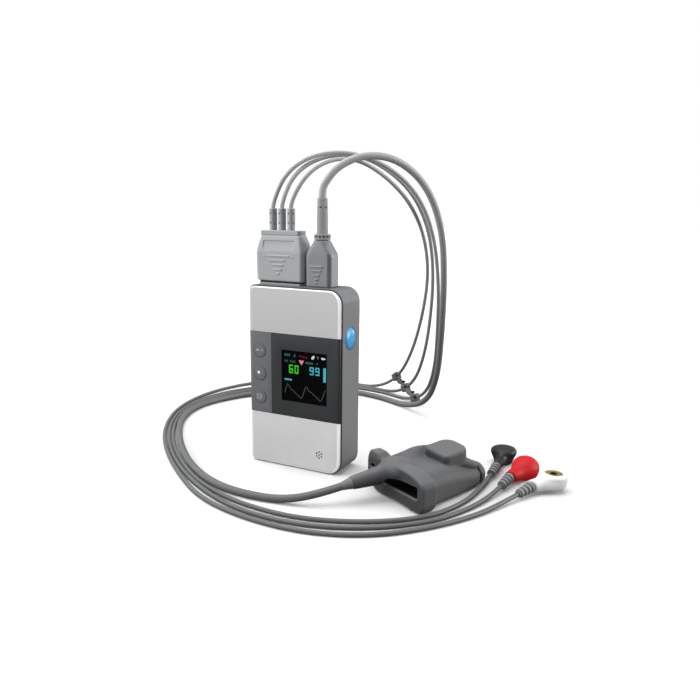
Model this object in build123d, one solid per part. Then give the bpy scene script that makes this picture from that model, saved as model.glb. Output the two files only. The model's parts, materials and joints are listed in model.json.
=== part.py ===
from build123d import *
import os
import math

# ---------------------------------------------------------------- dimensions
# Frame: origin at the middle of the base, +Z up, front face towards -Y, millimetres.
body_w = 59.1            # width over the sides
body_h = 103.0           # height of the housing
body_d = 22.7            # depth, front panels to back
y_front = -body_d / 2
y_back = body_d / 2
corner_left = 3.5        # outline corners, key side
corner_right = 8.0       # outline corners, side button side
wall = 2.2               # housing wall
rim = 0.8                # thin rim around the front panels
rim_front = -9.75        # front edge of the rear housing, just behind the panels
ledge_y = -8.35          # ledge that carries the seal and the front housing
panel_back = -9.85       # back of the front panels
panel_inset = 0.3        # panels stand this far inside the outline
panel_round = 0.7        # rounded outer edge of the silver panels

band_z0, band_z1 = 30.2, 77.1      # dark band between the silver panels
key_window_split = -14.6           # line between keypad panel and display bezel
key_x = -22.3
key_z = {"top": 66.2, "middle": 53.0, "bottom": 39.3}
key_d = 8.2
key_travel = 0.5
screen_x0, screen_x1 = -7.35, 20.2     # lit area
screen_z0, screen_z1 = 39.6, 67.5
lcd_w, lcd_h, lcd_t = 31.5, 33.7, 2.0

side_y, side_z, side_d = -0.8, 76.1, 12.0   # domed button in the right side
side_travel = 0.8
speaker_x, speaker_z = 16.1, 10.6

ecg_x = -12.8            # lead plug centre
ecg_half_w, ecg_half_d = 15.6, 5.8
ecg_boot_x = (-19.6, -13.8, -8.0)
ecg_exit_z = 144.7
spo2_x = 11.6            # sensor plug centre
spo2_half_w, spo2_half_d = 8.1, 5.4
spo2_exit_z = 150.3
plug_travel = 12.0

hinge_y, hinge_z = 9.5, 11.85      # battery door pin
hinge_r = 1.85
pin_d = 2.0
door_swing = 95.0

lead_d = 2.35
cable_d = 4.0

# Route of each cord, from its plug to its far end, resting on Z = 0 where it lies.
spo2_route = [(11.6, 0, 150.3), (11.6, 0, 154.6), (12.9, 0.9, 158.7), (18.6, 4.7, 167.2), (29.2, 15.6, 173.7), (41.8, 32.5, 171.6), (52, 51.1, 157.5), (56.3, 66.7, 132.2), (54.6, 77.7, 99.6), (50.7, 87.2, 65.9), (45.1, 98.6, 35.2), (32.9, 113.7, 12.6), (10.9, 130.2, 2), (-16.8, 144.2, 2), (-46.1, 149.1, 2), (-74.4, 139.3, 2), (-99.3, 117.4, 2), (-118.2, 89.3, 2), (-125.5, 59.3, 2), (-116.7, 30.6, 2), (-97.8, 4.5, 2), (-73.9, -20.6, 2), (-48.6, -41.1, 2), (-24.9, -54.1, 2), (-2, -58.5, 2), (20.9, -55.5, 2), (40.1, -49.8, 7.7), (50.1, -39.2, 11)]
black_route = [(-19.6, 0, 144.7), (-19.6, 0, 148.2), (-13.6, 3.9, 164.2), (-2.1, 14.7, 174.3), (12.9, 31, 176.4), (27.8, 50.2, 169.4), (39.2, 69.2, 153.9), (44.1, 85.4, 129.6), (43.8, 98, 99.2), (41, 107.4, 66), (35.8, 119, 35.3), (24.5, 133.8, 12.1), (4.1, 149.4, 1.2), (-22.4, 161.3, 1.2), (-50.6, 164.6, 1.2), (-77.2, 155.9, 1.2), (-100.4, 137.1, 1.2), (-118.9, 112.4, 1.2), (-130.8, 85.3, 1.2), (-130.9, 57.5, 1.2), (-120.7, 31.1, 1.2), (-104.1, 6.3, 1.2), (-82.8, -17.3, 1.2), (-58.1, -38.5, 1.2), (-30.5, -56.6, 1.2), (1.5, -67.2, 1.2), (35.8, -68.8, 1.2), (66.8, -57.4, 1.2), (89.6, -39.5, 1.2), (100, -17.6, 1.2), (103.6, 4.8, 2), (103.6, 24.4, 3.2)]
red_route = [(-13.8, 0, 144.7), (-13.8, 0, 148.4), (-9.5, 6.3, 164), (-0.6, 20.2, 173.3), (10.6, 39.6, 176.2), (21.1, 61.7, 169.1), (29.9, 84.2, 154.8), (33.5, 103.9, 133.1), (32.3, 119.3, 105.1), (27.6, 130.2, 72.4), (19.9, 141, 40.6), (7.7, 153, 14.7), (-11.8, 164.3, 1.2), (-37.7, 169.6, 1.2), (-65.9, 165.4, 1.2), (-92.5, 151.5, 1.2), (-114.7, 130.4, 1.2), (-130, 104.8, 1.2), (-135.5, 76.8, 1.2), (-131.4, 48.9, 1.2), (-118.7, 22.3, 1.2), (-100.3, -2.5, 1.2), (-77.5, -25.7, 1.2), (-51.9, -46.3, 1.2), (-23.2, -63.2, 1.2), (6.3, -73.9, 1.2), (39.7, -74.5, 1.2), (70.4, -62.8, 1.2), (93.7, -42.3, 1.2), (105, -20, 1.2), (110.9, -0.3, 2), (112.7, 11, 3.2)]
white_route = [(-8, 0, 144.7), (-8, 0, 149.1), (-0.5, 5.3, 164.2), (7.4, 18.7, 172), (13.8, 37.8, 172.8), (20.6, 61.5, 164.6), (26.7, 86.7, 149.6), (28.8, 109.5, 127.6), (25.8, 127.6, 100.2), (17.4, 140.1, 69), (5.7, 151.6, 38.6), (-10.3, 163, 13.9), (-33.2, 172, 1.2), (-61.3, 174.9, 1.2), (-90.2, 169.1, 1.2), (-115.3, 153.9, 1.2), (-133.1, 130.7, 1.2), (-141.5, 102.3, 1.2), (-141.2, 72.2, 1.2), (-133.2, 43.4, 1.2), (-118.9, 17.5, 1.2), (-99.7, -7.4, 1.2), (-76.5, -30, 1.2), (-49.7, -51.2, 1.2), (-20.2, -70.8, 1.2), (11.8, -79.5, 1.2), (45.3, -79.8, 1.2), (74, -68.7, 1.2), (94.9, -48.9, 1.2), (109.9, -26.2, 1.2), (118.5, -6.3, 2), (123.2, 4.9, 3.2)]

# Snap connectors: centre of the head on the floor, head diameter
snap_heads = {"black": (102.9, 54.4), "red": (119.3, 38.3), "white": (136.6, 25.8)}
snap_boot_len = 12.0

# Lead separator: where its clips hold the leads (white, red, black), and the way the lead runs there
clip_white = ((-11.5, 162.9, 15.1), (-0.7, 0.4, -0.6))
clip_red = ((-1.7, 158.4, 8.2), (-0.7, 0.4, -0.5))
clip_black = ((12.2, 143.2, 5.6), (-0.8, 0.5, -0.4))

# Finger sensor: middle of the open face on the floor and the turn of its axis
sensor_x, sensor_y, sensor_turn = 68.05, -27.45, -28.67
relief_len = 26.0

os.makedirs("parts", exist_ok=True)
made = {}


def put(name, shape):
    """write one node"""
    made[name] = shape
    export_step(shape, "parts/%s.step" % name)


# ---------------------------------------------------------------- helpers
def outline(off):
    """front outline of the housing, moved inwards by off"""
    w, h = body_w - 2 * off, body_h - 2 * off
    s = Pos(0, body_h / 2) * Rectangle(w, h)
    s = fillet(s.vertices().group_by(Axis.X)[0], max(corner_left - off, 0.5))
    s = fillet(s.vertices().group_by(Axis.X)[-1], max(corner_right - off, 0.5))
    return s


def slab(sketch, y0, y1):
    """a sketch drawn in X and Z, from depth y0 to y1"""
    return extrude(Plane.XZ.offset(-y1) * sketch, y1 - y0)


def block(x0, x1, y0, y1, z0, z1):
    return Pos((x0 + x1) / 2, (y0 + y1) / 2, (z0 + z1) / 2) * Box(x1 - x0, y1 - y0, z1 - z0)


def rod_y(x, z, d, y0, y1):
    return Pos(x, (y0 + y1) / 2, z) * Rot(90, 0, 0) * Cylinder(d / 2, y1 - y0)


def rod_x(y, z, d, x0, x1):
    return Pos((x0 + x1) / 2, y, z) * Rot(0, 90, 0) * Cylinder(d / 2, x1 - x0)


def rod_z(x, y, d, z0, z1):
    return Pos(x, y, (z0 + z1) / 2) * Cylinder(d / 2, z1 - z0)


def rounded_z(x, y, w, d, r, z0, z1):
    """rounded upright block"""
    return extrude(Plane.XY.offset(z0) * Pos(x, y) * RectangleRounded(w, d, r), z1 - z0)


def along(point, direction):
    """frame with its Z along a direction"""
    return Plane(origin=point, z_dir=direction)


def direction(a, b):
    v = [b[i] - a[i] for i in range(3)]
    n = math.sqrt(sum(c * c for c in v))
    return tuple(c / n for c in v), n


# ---------------------------------------------------------------- housing
rear = slab(outline(0), rim_front, y_back)
back_edges = rear.faces().sort_by(Axis.Y)[-1].edges()
rear = fillet(back_edges, 1.6)
rear -= slab(outline(rim), rim_front - 1, ledge_y)
rear -= slab(outline(wall), ledge_y - 0.01, y_back - 2.0)
# openings for the two sockets in the top wall
rear -= block(-26.05, 0.45, -4.45, 4.45, 100, 104)
rear -= block(5.55, 17.65, -3.95, 3.95, 100, 104)
# hole of the side button
rear -= rod_x(side_y, side_z, side_d + 0.5, 25.5, 31)
# opening of the battery door with the hinge knuckles
rear -= block(-24.2, 24.2, 8.8, 12, 9.7, 58.25)
for x0, x1 in ((-24.25, -18.3), (-7.7, 7.7), (18.3, 24.25)):
    rear += rod_x(hinge_y, hinge_z, 2 * hinge_r, x0, x1)
rear += block(-7.7, 7.7, 9.0, y_back, 9.2, hinge_z)
rear -= rod_x(hinge_y, hinge_z, pin_d, -23.5, 23.5)
# counterbores of the case screws
screw_at = ((-21.0, 5.0), (21.0, 5.0), (-22.5, 84.9), (22.5, 84.9))
for sx, sz in screw_at:
    rear -= rod_y(sx, sz, 4.3, 10.0, 12)
    rear -= rod_y(sx, sz, 2.2, 8.8, 11)
put("rear_housing", rear)

front = slab(outline(0.9), panel_back, -8.85) + slab(outline(2.4), -8.85, -7.35)
lcd_x, lcd_z = (screen_x0 + screen_x1) / 2, (screen_z0 + screen_z1) / 2
front -= slab(Pos(lcd_x, lcd_z) * Rectangle(lcd_w + 0.7, lcd_h + 0.7), panel_back - 1, -7)
for z in key_z.values():
    front -= block(key_x - 4.4, key_x + 4.4, panel_back - 1, -8.35, z - 5.5, z + 5.5)
    front -= rod_y(key_x, z, 3.8, -9, -7)
front -= rod_y(speaker_x, speaker_z, 4.4, panel_back - 1, -7)
for sx, sz in screw_at:
    front += rod_y(sx, sz, 4.8, -7.35, 9.3)
    front -= rod_y(sx, sz, 2.0, 1.0, 10)
post_at = ((-18.0, 26.0), (20.0, 26.0), (-14.0, 79.0), (9.0, 79.0))
for sx, sz in post_at:
    front += rod_y(sx, sz, 3.8, -7.35, -4.6)
    front -= rod_y(sx, sz, 1.4, -6.8, -4)
put("front_housing", front)

put("housing_seal", slab(outline(0.95) - outline(2.4), -8.85, ledge_y))

case_screws = []
for sx, sz in screw_at:
    case_screws.append(rod_y(sx, sz, 4.0, 10.0, 11.2) + rod_y(sx, sz, 2.0, 2.0, 10.0)
                       - rod_y(sx, sz, 1.6, 10.7, 11.5))
put("case_screws", Compound(children=case_screws))

# ---------------------------------------------------------------- front panels
panel = outline(panel_inset)
big = 200.0
gap = 0.12


def cut_panel(z0, z1, x0=-big, x1=big):
    s = panel & (Pos((x0 + x1) / 2, (z0 + z1) / 2) * Rectangle(x1 - x0, z1 - z0))
    return slab(s, y_front, panel_back)


upper = cut_panel(band_z1, big)
lower = cut_panel(-big, band_z0)
hole_ring = [(0, 0)] + [(1.75 * math.cos(math.radians(a)), 1.75 * math.sin(math.radians(a))) for a in range(30, 390, 60)]
for hx, hz in hole_ring:
    lower -= rod_y(speaker_x + hx, speaker_z + hz, 1.1, y_front - 1, panel_back + 1)


def soften(shape, band_z):
    """round the outer front edges, and break the edge along the dark band"""
    edges = shape.faces().sort_by(Axis.Y)[0].outer_wire().edges()
    inner = [e for e in edges if abs(e.center().Z - band_z) < 0.01]
    shape = fillet([e for e in edges if abs(e.center().Z - band_z) >= 0.01], panel_round)
    edges = shape.faces().sort_by(Axis.Y)[0].outer_wire().edges()
    inner = [e for e in edges if abs(e.center().Z - band_z) < 0.01]
    return chamfer(inner, 0.2)


upper = soften(upper, band_z1)
lower = soften(lower, band_z0)
put("upper_front_panel", upper)
put("lower_front_panel", lower)

keypad = cut_panel(band_z0 + gap, band_z1 - gap, -big, key_window_split - gap / 2)
for z in key_z.values():
    keypad -= rod_y(key_x, z, key_d + 0.24, y_front - 1, panel_back + 1)
put("keypad_panel", keypad)

bezel = cut_panel(band_z0 + gap, band_z1 - gap, key_window_split + gap / 2, big)
lens_w = screen_x1 - screen_x0 + 1.2
lens_h = screen_z1 - screen_z0 + 1.2
bezel -= slab(Pos(lcd_x, lcd_z) * RectangleRounded(lens_w, lens_h, 0.6), y_front - 1, panel_back + 1)
put("display_bezel", bezel)
put("display_lens", slab(Pos(lcd_x, lcd_z) * RectangleRounded(lens_w - 0.1, lens_h - 0.1, 0.55), y_front + 0.05, panel_back))
put("display_gasket", slab(Pos(lcd_x, lcd_z) * (Rectangle(lcd_w, lcd_h) - Rectangle(lens_w + 0.6, lens_h + 0.6)), panel_back, panel_back + 0.4))
put("display_module", slab(Pos(lcd_x, lcd_z) * Rectangle(lcd_w, lcd_h), panel_back + 0.4, panel_back + 0.4 + lcd_t))

# ---------------------------------------------------------------- keys
for name, z in key_z.items():
    cap = rod_y(key_x, z, key_d, y_front - 0.25, -9.7)
    cap = fillet(cap.faces().sort_by(Axis.Y)[0].edges(), 0.5)
    cap += block(key_x - 4.1, key_x + 4.1, -9.75, -9.05, z - 5.1, z + 5.1)
    cap += rod_y(key_x, z, 3.2, -9.1, -5.65)
    put("key_" + name, cap)
domes = [rod_y(key_x, z, 5.0, -5.1, -4.6) for z in key_z.values()]
put("key_domes", Compound(children=domes))

r = side_d / 2
dome_x0, dome_x1 = 29.75, 30.9
dome_r = (r ** 2 + (dome_x1 - dome_x0) ** 2) / (2 * (dome_x1 - dome_x0))
half = math.asin(r / dome_r) / 2
dome_mid = (dome_x1 - dome_r + dome_r * math.cos(half), dome_r * math.sin(half))
skin = Line((26.95, 0), (26.95, r)) + Line((26.95, r), (dome_x0, r)) + ThreePointArc((dome_x0, r), dome_mid, (dome_x1, 0)) + Line((dome_x1, 0), (26.95, 0))
button = Pos(0, side_y, side_z) * revolve(make_face(skin), axis=Axis.X)
button += block(26.35, 27.15, side_y - 4.5, side_y + 4.5, side_z - 7.2, side_z + 7.2)
button += rod_x(side_y, side_z, 4.0, 25.75, 26.85)
put("side_button", button)
put("side_switch", block(20.85, 24.85, -3.0, 1.4, side_z - 2.5, side_z + 2.5))

# ---------------------------------------------------------------- electronics
board = block(-24.6, 24.6, -4.6, -3.0, 8.0, 86.0)
for sx, sz in screw_at:
    board -= rod_y(sx, sz, 5.6, -6, -2)
for sx, sz in post_at:
    board -= rod_y(sx, sz, 1.5, -6, -2)
put("main_board", board)
board_screws = [rod_y(sx, sz, 2.6, -3.0, -2.5) + rod_y(sx, sz, 1.4, -6.6, -3.0) for sx, sz in post_at]
put("board_screws", Compound(children=board_screws))
put("radio_module", block(-12, 6, -3.0, -0.8, 62, 76))
put("antenna", block(-22, -15, -3.0, -1.8, 60.5, 69.5))
put("speaker", rod_y(speaker_x, speaker_z, 9.4, -7.35, -4.75))

# ---------------------------------------------------------------- battery
tray = block(-27.3, 27.3, -2.4, 8.6, 14.6, 58.4) - block(-25.8, 25.8, -1.5, 10, 15.6, 57.4)
put("battery_tray", tray)
pack = block(-24.8, 24.8, -1.3, 8.1, 18.0, 56.9)
pack = fillet(pack.edges(), 1.0)
put("battery_pack", pack)
springs = [block(x - 1.0, x + 1.0, 1.5, 4.5, 15.6, 18.0) for x in (-9, -3, 3, 9)]
put("battery_contacts", Compound(children=springs))

door = block(-23.9, 23.9, 9.45, y_back, 14.25, 57.95)
for x0, x1 in ((-18.0, -8.0), (8.0, 18.0)):
    door += rod_x(hinge_y, hinge_z, 2 * hinge_r, x0, x1)
    door += block(x0, x1, hinge_y, y_back, hinge_z, 14.4)
door -= rod_x(hinge_y, hinge_z, pin_d + 0.08, -19, 19)
# thumb recess near the top edge
door -= Pos(0, y_back + 5.2, 51.0) * Rot(0, 90, 0) * Cylinder(6.0, 16.0)
put("battery_door", door)
put("battery_door_seal", block(-22.6, 22.6, 8.95, 9.45, 16.0, 56.6) - block(-21.2, 21.2, 8, 10, 17.4, 55.2))
put("battery_door_pin", rod_x(hinge_y, hinge_z, pin_d, -23.5, 23.5))

# ---------------------------------------------------------------- sockets
ecg_pin_x = [-22.8 + 4.0 * i for i in range(6)]
ecg_socket = block(-26.0, 0.4, -4.4, 4.4, 87.8, 103.0) - block(-24.5, -1.1, -3.2, 3.2, 90.3, 104)
for x in ecg_pin_x:
    ecg_socket -= rod_z(x, 0, 0.9, 86, 91)
put("ecg_socket", ecg_socket)
put("ecg_socket_contacts", Compound(children=[rod_z(x, 0, 0.9, 87.5, 98.0) for x in ecg_pin_x]))

spo2_pin_x = [8.6, 10.6, 12.6, 14.6]
spo2_socket = block(5.6, 17.6, -3.9, 3.9, 87.8, 103.0) - block(7.1, 16.1, -2.6, 2.6, 90.3, 104)
for x in spo2_pin_x:
    spo2_socket -= rod_z(x, 0, 0.8, 86, 91)
put("spo2_socket", spo2_socket)
put("spo2_socket_contacts", Compound(children=[rod_z(x, 0, 0.8, 87.5, 98.0) for x in spo2_pin_x]))

# ---------------------------------------------------------------- lead plug
nose = block(-24.3, -1.3, -3.0, 3.0, 91.0, 104.0)
for x in ecg_pin_x:
    nose -= rod_z(x, 0, 1.8, 90, 102.0)
put("ecg_plug_nose", nose)
put("ecg_plug_pins", Compound(children=[rod_z(x, 0, 1.8, 91.2, 102.0) - rod_z(x, 0, 1.2, 90, 101.0) for x in ecg_pin_x]))
put("ecg_plug_seal", rounded_z(ecg_x, 0, 28.2, 9.8, 2.0, 103.05, 104.0) - block(-24.3, -1.3, -3.0, 3.0, 102, 105))


def stack(sections):
    """ruled body through rounded sections (z, x, y, width, depth, radius)"""
    return loft([Plane.XY.offset(z) * Pos(x, y) * RectangleRounded(w, d, r) for z, x, y, w, d, r in sections], ruled=True)


ecg_body = stack([(105.0, ecg_x, 0, 30.8, 11.2, 2.2), (113.0, ecg_x, 0, 31.2, 11.5, 2.2), (121.6, ecg_x, 0, 31.4, 11.6, 2.2),
                  (125.6, ecg_x, 0, 29.6, 10.4, 2.1), (129.0, ecg_x - 0.2, 0, 27.0, 8.6, 2.0), (130.1, ecg_x - 0.4, 0, 25.6, 8.0, 1.8)])
ecg_body += rounded_z(ecg_x, 0, 26.6, 8.6, 1.8, 104.0, 105.2)
cap = rounded_z(-13.25, 0, 25.5, 8.2, 1.2, 130.1, 132.8)
cap = chamfer(cap.faces().sort_by(Axis.Z)[-1].edges(), 0.3)
put("ecg_plug_body", ecg_body + cap)
boots = []
for x in ecg_boot_x:
    boot = rod_z(x, 0, 4.4, 132.8, ecg_exit_z)
    for gz in (136.7, 141.8):
        boot -= rod_z(x, 0, 8, gz - 0.3, gz + 0.3) - rod_z(x, 0, 3.9, gz - 1, gz + 1)
    boots.append(boot)
put("ecg_plug_boots", Compound(children=boots))

# ---------------------------------------------------------------- sensor plug
nose = block(7.3, 15.9, -2.4, 2.4, 91.0, 104.3)
for x in spo2_pin_x:
    nose -= rod_z(x, 0, 1.6, 90, 102.0)
put("spo2_plug_nose", nose)
put("spo2_plug_pins", Compound(children=[rod_z(x, 0, 1.6, 91.2, 102.0) - rod_z(x, 0, 1.05, 90, 101.0) for x in spo2_pin_x]))
spo2_body = stack([(103.15, spo2_x, 0, 16.2, 10.8, 1.9), (119.4, spo2_x, 0, 16.2, 10.8, 1.9), (121.8, spo2_x, 0, 15.2, 10.5, 2.2),
                   (125.4, spo2_x, 0, 11.9, 9.7, 3.2), (127.0, spo2_x, 0, 10.0, 9.0, 4.0), (127.9, spo2_x, 0, 9.4, 8.8, 4.2)])
spo2_body -= block(7.3, 15.9, -2.4, 2.4, 103, 104.3)
spo2_body += rod_z(spo2_x, 0, 6.6, 127.8, 131.0)
put("spo2_plug_body", spo2_body)
collar = rod_z(spo2_x, 0, 9.0, 128.2, 131.3) - rod_z(spo2_x, 0, 6.6, 128, 132)
for i in range(16):
    a = 2 * math.pi * i / 16
    collar -= Pos(spo2_x + 4.6 * math.cos(a), 4.6 * math.sin(a), 129.8) * Cylinder(0.35, 1.3)
put("spo2_plug_collar", collar)
boot = Pos(spo2_x, 0, 131.0 + 9.65) * Cone(6.1 / 2, 5.3 / 2, 19.3)
boot -= rod_z(spo2_x, 0, 9, 145.0, 145.6) - rod_z(spo2_x, 0, 4.9, 144, 146)
put("spo2_boot", boot)


# ---------------------------------------------------------------- cords
def cord(name, pts, d):
    """round tube of straight runs and tangent arcs"""
    radii = []
    for i in range(1, len(pts) - 1):
        ua, la = direction(pts[i - 1], pts[i])
        ub, lb = direction(pts[i], pts[i + 1])
        turn = math.acos(max(-1.0, min(1.0, sum(ua[k] * ub[k] for k in range(3)))))
        radii.append(0.45 * min(la, lb) / math.tan(turn / 2))
    path = FilletPolyline(*pts, radius=radii)
    start = Plane(origin=path @ 0, z_dir=path % 0)
    tube = sweep(start * Circle(d / 2), path=path)
    put(name, tube)
    print("%-12s length %.1f mm  radii/d min %.1f  first %s" % (name, path.length, min(radii) / d, [round(r / d, 1) for r in radii[:4]]),
          " volume ratio %.4f" % (tube.volume / (math.pi * d * d / 4 * path.length)))
    return path


paths = {"spo2_cable": cord("spo2_cable", spo2_route, cable_d),
         "black_lead": cord("black_lead", black_route, lead_d),
         "red_lead": cord("red_lead", red_route, lead_d),
         "white_lead": cord("white_lead", white_route, lead_d)}

# ---------------------------------------------------------------- snap connectors
snap_profiles = {
    # upright outline of each head, radius and height, open side down
    "black": [(0, 9.9), (3.0, 9.8), (5.2, 9.4), (6.7, 8.7), (7.35, 7.8), (7.4, 6.8), (7.0, 5.4), (6.3, 3.9), (5.6, 2.2), (5.2, 0.0), (0, 0.0)],
    "red": [(0, 11.3), (2.6, 11.1), (4.8, 10.2), (6.4, 8.6), (7.2, 6.6), (7.2, 4.6), (6.6, 2.4), (5.6, 0.0), (0, 0.0)],
    "white": [(0, 9.8), (5.6, 9.8), (6.6, 9.0), (7.25, 7.4), (7.25, 4.2), (6.2, 1.6), (4.6, 0.0), (0, 0.0)],
}
for name, route in (("black", black_route), ("red", red_route), ("white", white_route)):
    way, _ = direction(route[-2], route[-1])
    start = route[-1]
    tail = tuple(start[i] + way[i] * snap_boot_len for i in range(3))
    hx, hy = snap_heads[name]
    frame = along(start, way)
    boot = frame * Pos(0, 0, snap_boot_len / 2) * Cone(3.6 / 2, 5.0 / 2, snap_boot_len)
    for s in (1.2, 5.0, 8.8):
        d = 3.6 + 1.4 * s / snap_boot_len + 1.1
        boot += frame * Pos(0, 0, s + 0.8) * Cylinder(d / 2, 1.6)
    put("snap_boot_" + name, boot)
    pts = snap_profiles[name]
    head = revolve(Plane.XZ * make_face(Polyline(*[(x, z) for x, z in pts], close=True)), axis=Axis.Z)
    head = Pos(hx, hy, 0) * head
    to_head, dist = direction(tail, (hx, hy, 4.4))
    neck = along(tail, to_head) * Pos(0, 0, (dist - 2) / 2) * Cone(5.6 / 2, 8.4 / 2, dist - 2)
    # the neck starts flush on the strain relief
    neck -= frame * Pos(0, 0, snap_boot_len - 10) * Box(30, 30, 20)
    neck -= block(hx - 40, hx + 40, hy - 40, hy + 40, -20, 0.2)
    shell = head + neck
    if name == "white":
        shell -= rod_z(hx, hy, 9.8, 8.2, 12)
        shell -= rod_z(hx, hy, 4.6, 4.2, 12)
        contact = rod_z(hx, hy, 9.8, 8.2, 9.6) + rod_z(hx, hy, 4.6, 4.2, 8.7)
        contact -= rod_z(hx, hy, 3.9, 4.6, 12)
    else:
        shell -= rod_z(hx, hy, 8.8, -1, 1.6)
        shell -= rod_z(hx, hy, 4.6, -1, 5.6)
        contact = rod_z(hx, hy, 8.8, 0.2, 1.6) + rod_z(hx, hy, 4.6, 1.5, 5.6)
        contact -= rod_z(hx, hy, 3.9, -1, 5.2)
    put("snap_shell_" + name, shell)
    put("snap_contact_" + name, contact)

# ---------------------------------------------------------------- lead separator
clip_len, clip_d, clip_bore = 5.0, 4.6, lead_d + 0.2
sep = None


def nearest(path, point):
    """the path's own point and way nearest to a given point"""
    best = min((i / 3000 for i in range(3001)), key=lambda t: (path @ t - Vector(*point)).length)
    return path @ best, path % best


spots = []
for lead, (p, _) in (("white_lead", clip_white), ("red_lead", clip_red), ("black_lead", clip_black)):
    q, way = nearest(paths[lead], p)
    spots.append((q, way))
    ring = along(q, way) * Cylinder(clip_d / 2, clip_len)
    sep = ring if sep is None else sep + ring
for (a, _), (b, _) in zip(spots[:-1], spots[1:]):
    to_b, dist = direction(tuple(a), tuple(b))
    sep += along(tuple(a), to_b) * Pos(0, 0, dist / 2) * Box(2.4, 1.6, dist)
for q, way in spots:
    sep -= along(q, way) * Cylinder(clip_bore / 2, 12)
put("lead_separator", sep)

# ---------------------------------------------------------------- finger sensor
at = Pos(sensor_x, sensor_y, 0) * Rot(0, 0, sensor_turn)


def across(y, x0, x1, z0, z1, r):
    """upright rounded section of the sensor at distance y behind its face"""
    return Plane.XZ.offset(-y) * Pos((x0 + x1) / 2, (z0 + z1) / 2) * RectangleRounded(x1 - x0, z1 - z0, r)


flange = extrude(across(9.0, -22.0, 22.0, 0, 19.5, 4.0), 9.0)
flange += extrude(across(7.0, -21.6, -12.6, 8.0, 21.8, 2.6), 7.0)
body = loft([across(6.0, -18.0, 16.5, 0, 17.5, 5.0), across(20.0, -16.0, 15.6, 0, 20.5, 6.0), across(34.0, -14.5, 12.8, 0, 21.6, 6.5),
             across(44.0, -13.2, 10.4, 0, 16.4, 6.0), across(52.0, -12.2, 8.2, 0, 12.8, 5.5), across(60.0, -11.2, 6.2, 0.6, 10.2, 4.5)], ruled=True)
boot = flange + body
boot += extrude(Plane.XY.offset(12.0) * Pos(1.4, 30.4) * RectangleRounded(17.6, 17.6, 3.5), 11.2)
pocket = loft([across(-0.5, -17.5, 17.6, 6.6, 14.0, 3.0), across(9.0, -13.0, 12.0, 5.6, 14.6, 4.0), across(22.0, -9.5, 8.0, 4.4, 15.4, 5.0),
               across(40.0, -8.6, 6.4, 4.4, 14.4, 4.6), across(50.0, -8.0, 3.8, 4.6, 10.6, 2.8)], ruled=True)
boot -= pocket
emitter_seat = Pos(-1.0, 30.0, 16.6) * Box(8.0, 7.0, 3.4)
detector_seat = Pos(-1.0, 30.0, 3.4) * Box(8.0, 7.0, 3.0)
boot -= emitter_seat
boot -= detector_seat
# seat of the strain relief: the cone is cut out of the boot, which wraps it
way, _ = direction(spo2_route[-2], spo2_route[-1])
relief = along(spo2_route[-1], way) * Pos(0, 0, relief_len / 2) * Cone(6.5 / 2, 11.0 / 2, relief_len)
boot = at * boot
boot -= relief
relief -= at * pocket
put("finger_sensor_boot", boot)
put("sensor_strain_relief", relief)
put("sensor_emitter", at * (Pos(-1.0, 30.0, 16.6) * Box(7.9, 6.9, 3.3)))
put("sensor_detector", at * (Pos(-1.0, 30.0, 3.4) * Box(7.9, 6.9, 2.9)))

print(len(made), "nodes")
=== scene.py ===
import json
import math

import bmesh
import bpy
import numpy as np
from mathutils import Matrix, Quaternion, Vector
from mathutils import noise as mnoise


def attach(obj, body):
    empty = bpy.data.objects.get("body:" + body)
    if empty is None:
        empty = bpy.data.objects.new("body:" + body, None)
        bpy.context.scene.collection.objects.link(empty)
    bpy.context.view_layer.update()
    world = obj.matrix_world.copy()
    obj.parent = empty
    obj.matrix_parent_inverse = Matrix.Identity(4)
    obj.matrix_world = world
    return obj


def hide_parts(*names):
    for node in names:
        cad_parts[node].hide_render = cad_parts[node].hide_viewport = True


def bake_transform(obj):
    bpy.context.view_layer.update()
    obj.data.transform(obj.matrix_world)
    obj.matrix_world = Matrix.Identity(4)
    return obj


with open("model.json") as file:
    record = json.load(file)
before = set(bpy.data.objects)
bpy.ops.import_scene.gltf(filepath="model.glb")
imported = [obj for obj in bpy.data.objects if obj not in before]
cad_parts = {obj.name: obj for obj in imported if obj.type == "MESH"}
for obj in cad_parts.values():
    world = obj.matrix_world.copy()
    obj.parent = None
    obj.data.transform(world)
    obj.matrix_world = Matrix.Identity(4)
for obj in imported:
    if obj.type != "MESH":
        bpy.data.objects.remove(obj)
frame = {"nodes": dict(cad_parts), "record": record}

NODES = frame["nodes"]
SCENE = bpy.context.scene
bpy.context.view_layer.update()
MM = 0.001

# ------------------------------------------------------------------ colours


def lin(v):
    """one sRGB channel from 0 to 255 as linear light"""
    c = v / 255.0
    return c / 12.92 if c <= 0.04045 else ((c + 0.055) / 1.055) ** 2.4


def rgb(r, g=None, b=None):
    if g is None:
        g = b = r
    return (lin(r), lin(g), lin(b), 1.0)


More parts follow.
